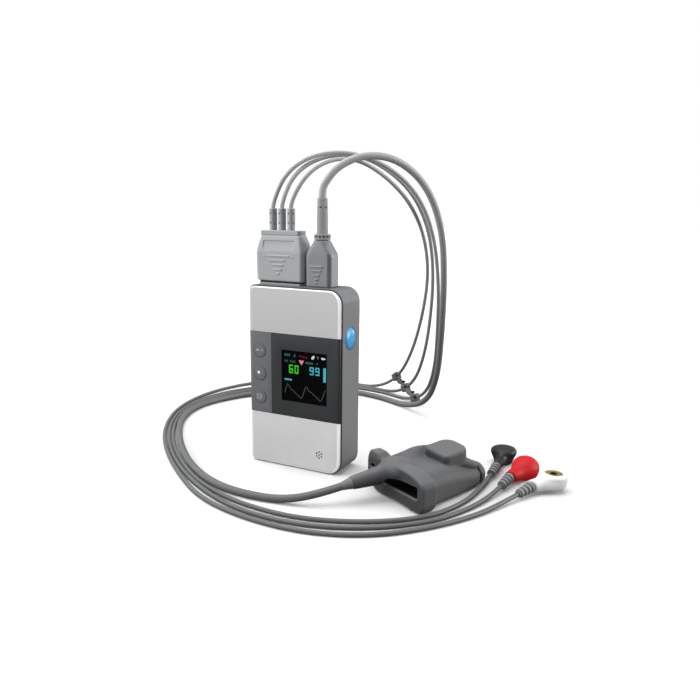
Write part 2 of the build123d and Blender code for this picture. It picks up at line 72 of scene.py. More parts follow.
# ------------------------------------------------------------------ materials
class Mat:
    """a small helper around one node material"""

    def __init__(self, name):
        self.m = bpy.data.materials.new(name)
        self.m.use_nodes = True
        self.t = self.m.node_tree
        self.t.nodes.clear()
        self.out = self.n("ShaderNodeOutputMaterial")
        self.b = self.n("ShaderNodeBsdfPrincipled")
        self.l(self.b, "BSDF", self.out, "Surface")
        self.co = self.n("ShaderNodeTexCoord")

    def n(self, kind, **kw):
        node = self.t.nodes.new(kind)
        for k, v in kw.items():
            setattr(node, k, v)
        return node

    def l(self, a, ao, b, bi):
        self.t.links.new(a.outputs[ao], b.inputs[bi])

    def set(self, **kw):
        for k, v in kw.items():
            self.b.inputs[k.replace("_", " ")].default_value = v
        return self

    def noise(self, scale, detail=2.0, rough=0.5, coords="Object", stretch=None):
        t = self.n("ShaderNodeTexNoise")
        t.inputs["Scale"].default_value = scale
        t.inputs["Detail"].default_value = detail
        t.inputs["Roughness"].default_value = rough
        if stretch:
            mp = self.n("ShaderNodeMapping")
            mp.inputs["Scale"].default_value = stretch
            self.l(self.co, coords, mp, "Vector")
            self.l(mp, "Vector", t, "Vector")
        else:
            self.l(self.co, coords, t, "Vector")
        return t

    def ramp(self, src, so, stops, interpolation="LINEAR"):
        r = self.n("ShaderNodeValToRGB")
        r.color_ramp.interpolation = interpolation
        e = r.color_ramp.elements
        while len(e) < len(stops):
            e.new(0.5)
        for i, (p, c) in enumerate(stops):
            e[i].position = p
            e[i].color = c if len(c) == 4 else (*c, 1.0)
        self.l(src, so, r, "Fac")
        return r

    def mix(self, fac, fo, a, b, ao=None, bo=None, blend="MIX"):
        """colour mix: a and b are colours, or nodes with their outputs named"""
        x = self.n("ShaderNodeMix", data_type="RGBA", blend_type=blend)
        if isinstance(fac, float):
            x.inputs[0].default_value = fac
        else:
            self.t.links.new(fac.outputs[fo], x.inputs[0])
        for i, (v, vo) in ((6, (a, ao)), (7, (b, bo))):
            if vo is None:
                x.inputs[i].default_value = v
            else:
                self.t.links.new(v.outputs[vo], x.inputs[i])
        return x

    def math(self, op, a, ao, b=None, bo=None, clamp=False):
        x = self.n("ShaderNodeMath", operation=op, use_clamp=clamp)
        for i, (v, vo) in enumerate(((a, ao), (b, bo))):
            if v is None:
                continue
            if vo is None:
                x.inputs[i].default_value = v
            else:
                self.t.links.new(v.outputs[vo], x.inputs[i])
        return x

    def range(self, src, so, a, b, c, d):
        x = self.n("ShaderNodeMapRange")
        self.t.links.new(src.outputs[so], x.inputs["Value"])
        x.inputs["From Min"].default_value = a
        x.inputs["From Max"].default_value = b
        x.inputs["To Min"].default_value = c
        x.inputs["To Max"].default_value = d
        return x

    def bump(self, src, so, strength, distance, normal=None):
        x = self.n("ShaderNodeBump")
        x.inputs["Strength"].default_value = strength
        x.inputs["Distance"].default_value = distance
        self.t.links.new(src.outputs[so], x.inputs["Height"])
        if normal is not None:
            self.l(normal, "Normal", x, "Normal")
        return x


def plastic(name, colour, rough=0.45, vary=0.05, grain=2600.0, depth=0.00002, spec=0.5, coat=0.0, coat_rough=0.2,
            wear=0.12, dust=0.06, sss=0.0, top_face_shade=1.0):
    """moulded plastic: fine spark-eroded grain, slight tone drift, edges polished a little lighter, faint handling
    marks; a top-face factor below 1 darkens the upward faces as painted shade
    """
    m = Mat(name)
    m.set(Roughness=rough, Specular_IOR_Level=spec)
    base = tuple(colour[:3])
    drift = m.noise(45.0, 3.0)
    dark = tuple(c * (1 - vary) for c in base)
    light = tuple(min(1.0, c * (1 + vary)) for c in base)
    tone = m.ramp(drift, "Fac", [(0.35, dark), (0.65, light)])
    geo = m.n("ShaderNodeNewGeometry")
    edge = m.ramp(geo, "Pointiness", [(0.505, (0, 0, 0)), (0.56, (1, 1, 1))])
    hand = m.noise(160.0, 4.0, 0.6)
    wear_and_flank_light = m.math("MULTIPLY", edge, "Color", hand, "Fac")
    worn2 = m.math("MULTIPLY", wear_and_flank_light, "Value", wear * 2, None, clamp=True)
    pale = tuple(min(1.0, c * 1.35 + 0.02) for c in base) + (1.0,)
    c1 = m.mix(worn2, "Value", tone, pale, "Color", None)
    m.t.links.new(c1.outputs[2], m.b.inputs["Base Color"])
    # painted shade: upward faces darkened by the top-face factor
    if top_face_shade != 1.0:
        sep = m.n("ShaderNodeSeparateXYZ")
        m.l(geo, "Normal", sep, 0)
        top_face_shade_ramp = m.ramp(sep, "Z", [(0.80, (1, 1, 1)), (0.98, (top_face_shade, top_face_shade, top_face_shade))])
        c0 = m.n("ShaderNodeMix")
        c0.data_type = "RGBA"
        c0.blend_type = "MULTIPLY"
        c0.inputs[0].default_value = 1.0
        m.t.links.new(c1.outputs[2], c0.inputs[6])
        m.t.links.new(top_face_shade_ramp.outputs["Color"], c0.inputs[7])
        m.t.links.new(c0.outputs[2], m.b.inputs["Base Color"])
    mark = m.noise(38.0, 5.0, 0.65, stretch=(1.0, 1.0, 0.4))
    r = m.range(mark, "Fac", 0.3, 0.7, rough - dust, rough + dust)
    m.l(r, "Result", m.b, "Roughness")
    g = m.noise(grain, 2.0, 0.6)
    bp = m.bump(g, "Fac", 0.35, depth)
    m.l(bp, "Normal", m.b, "Normal")
    if coat:
        m.set(Coat_Weight=coat, Coat_Roughness=coat_rough)
    if sss:
        m.set(Subsurface_Weight=sss, Subsurface_Scale=0.002)
    return m.m


def metal(name, colour, rough=0.3, vary=0.06, streak=(1.0, 1.0, 1.0), scale=400.0, depth=0.00001, metallic=1.0):
    m = Mat(name)
    m.set(Metallic=metallic)
    base = tuple(colour[:3])
    n = m.noise(scale, 4.0, 0.6, stretch=streak)
    tone = m.ramp(n, "Fac", [(0.3, tuple(c * (1 - vary) for c in base)), (0.7, tuple(min(1, c * (1 + vary)) for c in base))])
    m.l(tone, "Color", m.b, "Base Color")
    r = m.range(n, "Fac", 0.3, 0.7, rough * 0.8, rough * 1.25)
    m.l(r, "Result", m.b, "Roughness")
    bp = m.bump(n, "Fac", 0.3, depth)
    m.l(bp, "Normal", m.b, "Normal")
    return m.m


def rubber(name, colour, rough=0.6, vary=0.06, sheen=0.15, depth=0.00003, grain=1500.0, sss=0.0, wear=0.1):
    """soft moulded rubber: satin skin, edges worn a little paler, fine matt grain"""
    m = Mat(name)
    m.set(Sheen_Weight=sheen, Sheen_Roughness=0.5, Specular_IOR_Level=0.4)
    base = tuple(colour[:3])
    cloud = m.noise(60.0, 4.0, 0.55)
    tone = m.ramp(cloud, "Fac", [(0.3, tuple(c * (1 - vary) for c in base)), (0.7, tuple(min(1, c * (1 + vary)) for c in base))])
    geo = m.n("ShaderNodeNewGeometry")
    edge = m.ramp(geo, "Pointiness", [(0.50, (0, 0, 0)), (0.58, (1, 1, 1))])
    e2 = m.math("MULTIPLY", edge, "Color", wear * 2, None, clamp=True)
    pale = tuple(min(1.0, c * 1.5 + 0.01) for c in base) + (1.0,)
    c1 = m.mix(e2, "Value", tone, pale, "Color", None)
    m.t.links.new(c1.outputs[2], m.b.inputs["Base Color"])
    r = m.range(cloud, "Fac", 0.3, 0.7, rough - 0.06, rough + 0.06)
    m.l(r, "Result", m.b, "Roughness")
    g = m.noise(grain, 3.0, 0.6)
    bp = m.bump(g, "Fac", 0.4, depth)
    m.l(bp, "Normal", m.b, "Normal")
    if sss:
        m.set(Subsurface_Weight=sss, Subsurface_Scale=0.002)
    return m.m


def silicone():
    """dark silicone with painted light and shade: upward faces painted lighter as if lit from above, ridges given a
    painted pale highlight, hollows painted darker as shade, the right-facing flank painted lighter as if lit
    """
    m = Mat("silicone_dark")
    m.set(Specular_IOR_Level=0.35, Sheen_Weight=0.08, Sheen_Roughness=0.5)
    geo = m.n("ShaderNodeNewGeometry")
    sep = m.n("ShaderNodeSeparateXYZ")
    m.l(geo, "Normal", sep, 0)
    cloud = m.noise(70.0, 4.0, 0.55)
    jitter = m.range(cloud, "Fac", 0.3, 0.7, -0.10, 0.10)
    up = m.math("ADD", sep, "Z", jitter, "Result")
    # painted light: base colour lighter the more a face points up
    tone = m.ramp(up, "Value", [(0.0, rgb(56, 57, 58)), (0.40, rgb(70, 71, 72)), (0.95, rgb(96, 97, 98))], "EASE")
    # painted highlight: convex ridges mixed toward a pale grey
    edge = m.ramp(geo, "Pointiness", [(0.50, (0, 0, 0)), (0.60, (1, 1, 1))])
    e2 = m.math("MULTIPLY", edge, "Color", 0.5, None, clamp=True)
    c1 = m.mix(e2, "Value", tone, rgb(132, 133, 134), "Color", None)
    # painted shade: hollows darkened
    hollow_shade = m.ramp(geo, "Pointiness", [(0.44, (0.62, 0.62, 0.62)), (0.495, (1, 1, 1))])
    c0 = m.n("ShaderNodeMix")
    c0.data_type = "RGBA"
    c0.blend_type = "MULTIPLY"
    c0.inputs[0].default_value = 1.0
    m.t.links.new(c1.outputs[2], c0.inputs[6])
    m.t.links.new(hollow_shade.outputs["Color"], c0.inputs[7])
    c1 = c0
    # painted light: the flank facing right and forward mixed toward a lighter grey
    flank_light = m.n("ShaderNodeVectorMath")
    flank_light.operation = "DOT_PRODUCT"
    flank_light.inputs[1].default_value = (0.86, -0.47, 0.20)
    m.l(geo, "Normal", flank_light, 0)
    wear_and_flank_light = m.range(flank_light, "Value", 0.55, 0.95, 0.0, 1.0)
    c2 = m.n("ShaderNodeMix")
    c2.data_type = "RGBA"
    m.t.links.new(wear_and_flank_light.outputs["Result"], c2.inputs[0])
    m.t.links.new(c1.outputs[2], c2.inputs[6])
    c2.inputs[7].default_value = tuple(rgb(84, 85, 86)[:3]) + (1.0,)
    m.t.links.new(c2.outputs[2], m.b.inputs["Base Color"])
    r = m.range(cloud, "Fac", 0.3, 0.7, 0.52, 0.64)
    m.l(r, "Result", m.b, "Roughness")
    bp = m.bump(m.noise(1300.0, 3.0, 0.6), "Fac", 0.4, 0.00003)
    m.l(bp, "Normal", m.b, "Normal")
    return m.m


M = {}
# the housing's top face is painted darker: painted shade
M["housing"] = plastic("housing_grey", rgb(123, 124, 125), rough=0.5, vary=0.015, top_face_shade=0.78)
M["silver"] = plastic("panel_silver", rgb(207, 207, 208), rough=0.38, vary=0.006, spec=0.5, wear=0.2, dust=0.03)
# painted shade: dark skin for the inside of the finger sensor's mouth
M["mouth"] = plastic("boot_inside_shade", rgb(38, 39, 40), rough=0.9, spec=0.1, wear=0.0)
# painted highlight: near-white bevel material with a faint glow for the bright panel edges
M["silver_edge"] = plastic("panel_edge_highlight", rgb(246, 246, 247), rough=0.3, vary=0.006, spec=0.6, wear=0.0, dust=0.03)
for b_ in M["silver_edge"].node_tree.nodes:
    if b_.type == "BSDF_PRINCIPLED":
        b_.inputs["Emission Color"].default_value = (1.0, 1.0, 1.0, 1.0)
        b_.inputs["Emission Strength"].default_value = 0.16
# painted shade: dark grey standing in for the shade in narrow gaps between parts
M["strip"] = plastic("gap_painted_shade", rgb(62, 63, 64), rough=0.6, wear=0.0)
M["keypad"] = plastic("keypad_grey", rgb(110, 111, 112), rough=0.5, vary=0.03)
M["bezel"] = plastic("bezel_charcoal", rgb(56, 57, 58), rough=0.36, vary=0.04, wear=0.06)
M["key"] = rubber("key_grey", rgb(106, 107, 108), rough=0.55, sheen=0.0)
M["button"] = plastic("button_blue", rgb(84, 178, 236), rough=0.3, vary=0.03, coat=0.4, coat_rough=0.1, sss=0.1)
M["frame"] = plastic("frame_plastic", rgb(50, 51, 53), rough=0.5)
M["foam"] = rubber("foam_black", rgb(30, 30, 31), rough=0.8)
M["steel"] = metal("steel", (0.62, 0.62, 0.61), rough=0.28)
M["brass"] = metal("brass", (0.66, 0.50, 0.20), rough=0.2)
M["board"] = plastic("board_green", rgb(28, 92, 58), rough=0.35)
M["wrap"] = plastic("battery_wrap", rgb(60, 78, 110), rough=0.35, spec=0.6)


def plug_plastic(name, face, corner, side):
    """moulded plastic with a fine grain; its front right corner painted darker as shade and its right side painted in
    its own tone for how light falls there
    """
    m = Mat(name)
    m.set(Roughness=0.41, Specular_IOR_Level=0.5)
    geo = m.n("ShaderNodeNewGeometry")

    def facing(direction, lo, hi):
        dp = m.n("ShaderNodeVectorMath")
        dp.operation = "DOT_PRODUCT"
        dp.inputs[1].default_value = direction
        m.l(geo, "Normal", dp, 0)
        return m.range(dp, "Value", lo, hi, 0.0, 1.0)

    drift = m.noise(45.0, 3.0)
    base = m.ramp(drift, "Fac", [(0.35, tuple(v * 0.98 for v in face[:3])), (0.65, face[:3])])
    # painted light and shade: faces turned right take the side tone
    side_tone_mask = facing((0.985, -0.17, 0.0), 0.93, 0.99)
    one = m.mix(side_tone_mask, "Result", base, tuple(side[:3]) + (1.0,), "Color", None)
    # painted shade: the rounded front right corner takes the darker corner tone
    corner_shade_mask = facing((0.60, -0.80, 0.0), 0.86, 0.97)
    two = m.n("ShaderNodeMix")
    two.data_type = "RGBA"
    m.t.links.new(corner_shade_mask.outputs["Result"], two.inputs[0])
    m.t.links.new(one.outputs[2], two.inputs[6])
    two.inputs[7].default_value = tuple(corner[:3]) + (1.0,)
    m.t.links.new(two.outputs[2], m.b.inputs["Base Color"])
    mark = m.noise(38.0, 5.0, 0.65)
    r = m.range(mark, "Fac", 0.3, 0.7, 0.36, 0.46)
    m.l(r, "Result", m.b, "Roughness")
    g = m.noise(2600.0, 2.0, 0.6)
    bp = m.bump(g, "Fac", 0.35, 0.00002)
    m.l(bp, "Normal", m.b, "Normal")
    return m.m


# ECG plug: corner and right side painted darker, the side as shade from the SpO2 plug beside it
M["plug"] = plug_plastic("plug_light", rgb(176, 179, 180), rgb(148, 151, 152), rgb(146, 149, 150))
# SpO2 plug: front right corner painted darker as shade, right side painted lighter as lit
M["plug_grey"] = plug_plastic("plug_grey", rgb(142, 144, 145), rgb(106, 108, 109), rgb(158, 160, 161))
M["relief"] = rubber("relief_grey", rgb(152, 153, 154), rough=0.55, sheen=0.0)
M["sleeve"] = rubber("sleeve_grey", rgb(112, 113, 114), rough=0.5, sheen=0.0)
def cord_lit_by_height():
    m = Mat("cord_grey")
    m.set(Roughness=0.42, Specular_IOR_Level=0.5)
    co = m.n("ShaderNodeTexCoord")
    sep_ = m.n("ShaderNodeSeparateXYZ")
    m.l(co, "Object", sep_, "Vector")
    # painted light and shade: cords darker near the floor and lighter higher up, for how light falls
    high = m.range(sep_, "Z", 0.015, 0.16, 0.0, 1.0)
    n = m.noise(60.0, 3.0)
    tone = m.ramp(high, "Result", [(0.0, rgb(100, 101, 102)), (1.0, rgb(176, 177, 178))])
    m.t.links.new(tone.outputs["Color"], m.b.inputs["Base Color"])
    r = m.range(n, "Fac", 0.3, 0.7, 0.38, 0.46)
    m.l(r, "Result", m.b, "Roughness")
    g = m.noise(1500.0, 2.0, 0.6)
    bp = m.bump(g, "Fac", 0.3, 0.00002)
    m.l(bp, "Normal", m.b, "Normal")
    return m.m


M["cord"] = cord_lit_by_height()
M["clip"] = rubber("clip_grey", rgb(84, 85, 86), rough=0.5, sheen=0.0)
M["clip_dark"] = rubber("clip_dark", rgb(14, 14, 15), rough=0.6, sheen=0.0)
M["snap_black"] = plastic("snap_black", rgb(22, 22, 24), rough=0.45)
M["snap_relief"] = rubber("snap_relief", rgb(126, 127, 128), rough=0.5, sheen=0.0)
M["snap_red"] = plastic("snap_red", rgb(194, 16, 27), rough=0.55, spec=0.3, sss=0.03)
M["snap_white"] = plastic("snap_white", rgb(246, 246, 247), rough=0.4, sss=0.05)
M["silicone"] = silicone()
M["display"] = plastic("display_black", rgb(3, 3, 4), rough=0.5, spec=0.05, wear=0.0)


def lens_material():
    m = Mat("lens_clear")
    m.set(Base_Color=(0.01, 0.01, 0.011, 1.0), Roughness=0.06, IOR=1.45, Specular_IOR_Level=0.3)
    n = m.noise(30.0, 3.0)
    r = m.range(n, "Fac", 0.3, 0.7, 0.05, 0.08)
    m.l(r, "Result", m.b, "Roughness")
    a = m.range(n, "Fac", 0.3, 0.7, 0.10, 0.12)
    m.l(a, "Result", m.b, "Alpha")
    return m.m


M["lens"] = lens_material()

SLOT_MAT = {
    "housing_grey": "housing", "frame_plastic": "frame", "foam_black": "foam", "steel": "steel", "panel_silver": "silver",
    "keypad_grey": "keypad", "bezel_charcoal": "bezel", "lens_clear": "lens", "display_black": "display", "key_grey": "key",
    "button_blue": "button", "board_green": "board", "brass": "brass", "battery_wrap": "wrap", "plug_light": "plug",
    "plug_grey": "plug_grey", "relief_grey": "relief", "cord_grey": "cord", "snap_black": "snap_black", "snap_red": "snap_red",
    "snap_white": "snap_white", "silicone_dark": "silicone",
}
NODE_SLOT = {}
for entry in frame["record"]["subparts"]:
    NODE_SLOT[entry["node"]] = entry["material_slot"]

for name, obj in NODES.items():
    mat = M[SLOT_MAT[NODE_SLOT[name]]]
    obj.data.materials.clear()
    obj.data.materials.append(mat)


# ------------------------------------------------------------------ mesh helpers
def mesh_object(name, verts, faces, mat, smooth=True):
    me = bpy.data.meshes.new(name)
    me.from_pydata([tuple(v) for v in verts], [], [tuple(f) for f in faces])
    me.materials.append(mat)
    me.update()
    ob = bpy.data.objects.new(name, me)
    SCENE.collection.objects.link(ob)
    if smooth:
        for p in me.polygons:
            p.use_smooth = True
    return ob


def spline_points(pts_mm, resolution=14):
    """points of a smooth NURBS line through open space, with these control points"""
    cu = bpy.data.curves.new("route", "CURVE")
    cu.dimensions = "3D"
    sp = cu.splines.new("NURBS")
    sp.points.add(len(pts_mm) - 1)
    for p, c in zip(sp.points, pts_mm):
        p.co = (c[0] * MM, c[1] * MM, c[2] * MM, 1.0)
    sp.order_u = 3
    sp.use_endpoint_u = True
    sp.resolution_u = resolution
    ob = bpy.data.objects.new("route", cu)
    SCENE.collection.objects.link(ob)
    me = bpy.data.meshes.new_from_object(ob)
    out = [v.co.copy() for v in me.vertices]
    bpy.data.objects.remove(ob)
    bpy.data.curves.remove(cu)
    bpy.data.meshes.remove(me)
    clean = [out[0]]
    for p in out[1:]:
        if (p - clean[-1]).length > 1e-6:
            clean.append(p)
    return clean


def frames_along(pts, up=Vector((0, 0, 1))):
    """a turning-free frame at each point: (point, way, side, other)"""
    n = len(pts)
    ways = []
    for i in range(n):
        a, b = pts[max(i - 1, 0)], pts[min(i + 1, n - 1)]
        ways.append((b - a).normalized())
    side = ways[0].cross(up)
    if side.length < 1e-3:
        side = ways[0].cross(Vector((0, 1, 0)))
    side.normalize()
    out = []
    for i in range(n):
        if i:
            axis = ways[i - 1].cross(ways[i])
            if axis.length > 1e-9:
                q = Quaternion(axis.normalized(), ways[i - 1].angle(ways[i]))
                side = q @ side
        side = (side - ways[i] * side.dot(ways[i])).normalized()
        out.append((pts[i], ways[i], side, ways[i].cross(side).normalized()))
    return out


def tube(name, pts, radii, mat, sides=20):
    """closed round tube along points; radii is one number or one per point"""
    fr = frames_along(pts)
    if isinstance(radii, (int, float)):
        radii = [radii] * len(pts)
    verts, faces = [], []
    for (p, w, s, o), r in zip(fr, radii):
        for k in range(sides):
            a = 2 * math.pi * k / sides
            verts.append(p + s * (r * math.cos(a)) + o * (r * math.sin(a)))
    for i in range(len(pts) - 1):
        for k in range(sides):
            a, b = i * sides + k, i * sides + (k + 1) % sides
            faces.append((a, b, b + sides, a + sides))
    faces.append(tuple(reversed(range(sides))))
    last = (len(pts) - 1) * sides
    faces.append(tuple(range(last, last + sides)))
    ob = mesh_object(name, verts, faces, mat)
    ob.data.polygons[len(faces) - 1].use_smooth = False
    ob.data.polygons[len(faces) - 2].use_smooth = False
    return ob


# ------------------------------------------------------------------ camera
CAM = Vector((193.3, -326.5, 144.1)) * MM
YAW, PITCH, ROLL = math.radians(26.72), math.radians(11.54), math.radians(-0.61)
fwd = Vector((-math.sin(YAW) * math.cos(PITCH), math.cos(YAW) * math.cos(PITCH), -math.sin(PITCH)))
right = Vector((math.cos(YAW), math.sin(YAW), 0))
down = fwd.cross(right)
if down.z > 0:
    down = -down
r2 = right * math.cos(ROLL) + down * math.sin(ROLL)
d2 = -right * math.sin(ROLL) + down * math.cos(ROLL)
cam_data = bpy.data.cameras.new("camera")
cam_data.sensor_width = 36.0
cam_data.lens = 36.0 * 685.2 / 700.0
cam_data.clip_start, cam_data.clip_end = 0.01, 50.0
cam = bpy.data.objects.new("camera", cam_data)
SCENE.collection.objects.link(cam)
cam.matrix_world = Matrix((
    (r2.x, -d2.x, -fwd.x, CAM.x),
    (r2.y, -d2.y, -fwd.y, CAM.y),
    (r2.z, -d2.z, -fwd.z, CAM.z),
    (0, 0, 0, 1)))
SCENE.camera = cam

# ------------------------------------------------------------------ cords
spo2_route = [(11.6, 0, 150.3), (11.6, 0, 154.6), (12.9, 0.9, 158.7), (18.6, 4.7, 167.2), (29.2, 15.6, 173.7), (41.8, 32.5, 171.6), (52, 51.1, 157.5), (56.3, 66.7, 132.2), (54.6, 77.7, 99.6), (50.7, 87.2, 65.9), (45.1, 98.6, 35.2), (32.9, 113.7, 12.6), (10.9, 130.2, 2), (-16.8, 144.2, 2), (-46.1, 149.1, 2), (-74.4, 139.3, 2), (-99.3, 117.4, 2), (-118.2, 89.3, 2), (-125.5, 59.3, 2), (-116.7, 30.6, 2), (-97.8, 4.5, 2), (-73.9, -20.6, 2), (-48.6, -41.1, 2), (-24.9, -54.1, 2), (-2, -58.5, 2), (20.9, -55.5, 2), (40.1, -49.8, 7.7), (50.1, -39.2, 11)]
black_route = [(-19.6, 0, 144.7), (-19.6, 0, 148.2), (-13.6, 3.9, 164.2), (-2.1, 14.7, 174.3), (12.9, 31, 176.4), (27.8, 50.2, 169.4), (39.2, 69.2, 153.9), (44.1, 85.4, 129.6), (43.8, 98, 99.2), (41, 107.4, 66), (35.8, 119, 35.3), (24.5, 133.8, 12.1), (4.1, 149.4, 1.2), (-22.4, 161.3, 1.2), (-50.6, 164.6, 1.2), (-77.2, 155.9, 1.2), (-100.4, 137.1, 1.2), (-118.9, 112.4, 1.2), (-130.8, 85.3, 1.2), (-130.9, 57.5, 1.2), (-120.7, 31.1, 1.2), (-104.1, 6.3, 1.2), (-82.8, -17.3, 1.2), (-58.1, -38.5, 1.2), (-30.5, -56.6, 1.2), (1.5, -67.2, 1.2), (35.8, -68.8, 1.2), (66.8, -57.4, 1.2), (89.6, -39.5, 1.2), (100, -17.6, 1.2), (103.6, 4.8, 2), (103.6, 24.4, 3.2)]
red_route = [(-13.8, 0, 144.7), (-13.8, 0, 148.4), (-9.5, 6.3, 164), (-0.6, 20.2, 173.3), (10.6, 39.6, 176.2), (21.1, 61.7, 169.1), (29.9, 84.2, 154.8), (33.5, 103.9, 133.1), (32.3, 119.3, 105.1), (27.6, 130.2, 72.4), (19.9, 141, 40.6), (7.7, 153, 14.7), (-11.8, 164.3, 1.2), (-37.7, 169.6, 1.2), (-65.9, 165.4, 1.2), (-92.5, 151.5, 1.2), (-114.7, 130.4, 1.2), (-130, 104.8, 1.2), (-135.5, 76.8, 1.2), (-131.4, 48.9, 1.2), (-118.7, 22.3, 1.2), (-100.3, -2.5, 1.2), (-77.5, -25.7, 1.2), (-51.9, -46.3, 1.2), (-23.2, -63.2, 1.2), (6.3, -73.9, 1.2), (39.7, -74.5, 1.2), (70.4, -62.8, 1.2), (93.7, -42.3, 1.2), (105, -20, 1.2), (110.9, -0.3, 2), (112.7, 11, 3.2)]
white_route = [(-8, 0, 144.7), (-8, 0, 149.1), (-0.5, 5.3, 164.2), (7.4, 18.7, 172), (13.8, 37.8, 172.8), (20.6, 61.5, 164.6), (26.7, 86.7, 149.6), (28.8, 109.5, 127.6), (25.8, 127.6, 100.2), (17.4, 140.1, 69), (5.7, 151.6, 38.6), (-10.3, 163, 13.9), (-33.2, 172, 1.2), (-61.3, 174.9, 1.2), (-90.2, 169.1, 1.2), (-115.3, 153.9, 1.2), (-133.1, 130.7, 1.2), (-141.5, 102.3, 1.2), (-141.2, 72.2, 1.2), (-133.2, 43.4, 1.2), (-118.9, 17.5, 1.2), (-99.7, -7.4, 1.2), (-76.5, -30, 1.2), (-49.7, -51.2, 1.2), (-20.2, -70.8, 1.2), (11.8, -79.5, 1.2), (45.3, -79.8, 1.2), (74, -68.7, 1.2), (94.9, -48.9, 1.2), (109.9, -26.2, 1.2), (118.5, -6.3, 2), (123.2, 4.9, 3.2)]

CORDS = {}
for cname, route, dia, body in (("spo2_cable", spo2_route, 4.0, "spo2_plug"), ("black_lead", black_route, 2.35, "ecg_plug"),
                                ("red_lead", red_route, 2.35, "ecg_plug"), ("white_lead", white_route, 2.35, "ecg_plug")):
    pts = spline_points(route)
    length = sum((b - a).length for a, b in zip(pts[:-1], pts[1:]))
    t = tube(cname + "_jacket", pts, dia / 2 * MM, M["cord"], sides=24)
    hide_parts(cname)
    CORDS[cname] = (t, pts, length, dia, body, route)
    print("cord", cname, "length %.1f mm" % (length * 1000))


# ------------------------------------------------------------------ sculpting by distance
def smin(a, b, k):
    h = np.maximum(k - np.abs(a - b), 0.0) / k
    return np.minimum(a, b) - h * h * k * 0.25


def smax(a, b, k):
    return -smin(-a, -b, k)


def sd_box(p, c, h, r):
    q = [np.abs(p[i] - c[i]) - (h[i] - r) for i in range(3)]
    out = np.sqrt(sum(np.maximum(x, 0.0) ** 2 for x in q))
    return out + np.minimum(np.maximum(np.maximum(q[0], q[1]), q[2]), 0.0) - r


def sd_rect(x, y, cx, cy, hx, hy, r):
    qx, qy = np.abs(x - cx) - (hx - r), np.abs(y - cy) - (hy - r)
    return np.sqrt(np.maximum(qx, 0.0) ** 2 + np.maximum(qy, 0.0) ** 2) + np.minimum(np.maximum(qx, qy), 0.0) - r


def sd_join(d2, dz, r):
    """a flat outline pushed out to a solid, its edges rounded by r"""
    a, b = d2 + r, dz + r
    return np.minimum(np.maximum(a, b), 0.0) + np.sqrt(np.maximum(a, 0.0) ** 2 + np.maximum(b, 0.0) ** 2) - r


def sd_cone(p, a, b, ra, rb):
    """round cone from a to b"""
    a, b = np.array(a, float), np.array(b, float)
    ba = b - a
    l2 = float(ba @ ba)
    rr = ra - rb
    a2 = l2 - rr * rr
    il2 = 1.0 / l2
    pa = [p[i] - a[i] for i in range(3)]
    y = pa[0] * ba[0] + pa[1] * ba[1] + pa[2] * ba[2]
    z = y - l2
    x2 = sum((pa[i] * l2 - ba[i] * y) ** 2 for i in range(3))
    y2 = y * y * l2
    z2 = z * z * l2
    k = np.sign(rr) * rr * rr * x2
    one = np.sqrt(x2 + z2) * il2 - rb
    two = np.sqrt(x2 + y2) * il2 - ra
    mid = (np.sqrt(x2 * a2 * il2) + y * rr) * il2 - ra
    return np.where(np.sign(z) * a2 * z2 > k, one, np.where(np.sign(y) * a2 * y2 < k, two, mid))


def sd_blob(p, c, r):
    """ellipsoid, near enough to a distance"""
    q = [(p[i] - c[i]) / r[i] for i in range(3)]
    k0 = np.sqrt(q[0] ** 2 + q[1] ** 2 + q[2] ** 2)
    k1 = np.sqrt(sum((q[i] / r[i]) ** 2 for i in range(3)))
    return k0 * (k0 - 1.0) / np.maximum(k1, 1e-6)


def sd_turned(p, centre, profile):
    """solid turned about the upright axis at centre; profile is its outline as (radius, height), closed at the axis"""
    r = np.sqrt((p[0] - centre[0]) ** 2 + (p[1] - centre[1]) ** 2)
    z = p[2]
    pts = [(float(a), float(b)) for a, b in profile]
    d = None
    inside = np.zeros(r.shape, bool)
    n = len(pts)
    for i in range(n):
        (x1, y1), (x2, y2) = pts[i], pts[(i + 1) % n]
        ex, ey = x2 - x1, y2 - y1
        ll = ex * ex + ey * ey
        if ll < 1e-12:
            continue
        if not (abs(x1) < 1e-9 and abs(x2) < 1e-9):
            t = np.clip(((r - x1) * ex + (z - y1) * ey) / ll, 0, 1)
            dd = (r - x1 - t * ex) ** 2 + (z - y1 - t * ey) ** 2
            d = dd if d is None else np.minimum(d, dd)
        cond = (y1 > z) != (y2 > z)
        with np.errstate(divide="ignore", invalid="ignore"):
            xin = ex * (z - y1) / (ey if abs(ey) > 1e-12 else 1e-12) + x1
        inside ^= cond & (r < xin)
    d = np.sqrt(d)
    return np.where(inside, -d, d)


def smooth_table(us, values, n=400):
    """a smooth line through the values at the stations us, as a lookup"""
    us, values = np.array(us, float), np.array(values, float)
    grid = np.linspace(us[0], us[-1], n)
    slope = np.gradient(values, us)
    out = np.empty(n)
    idx = np.clip(np.searchsorted(us, grid, side="right") - 1, 0, len(us) - 2)
    h = us[idx + 1] - us[idx]
    t = (grid - us[idx]) / h
    out = ((2 * t**3 - 3 * t**2 + 1) * values[idx] + (t**3 - 2 * t**2 + t) * h * slope[idx]
           + (-2 * t**3 + 3 * t**2) * values[idx + 1] + (t**3 - t**2) * h * slope[idx + 1])
    return grid, out


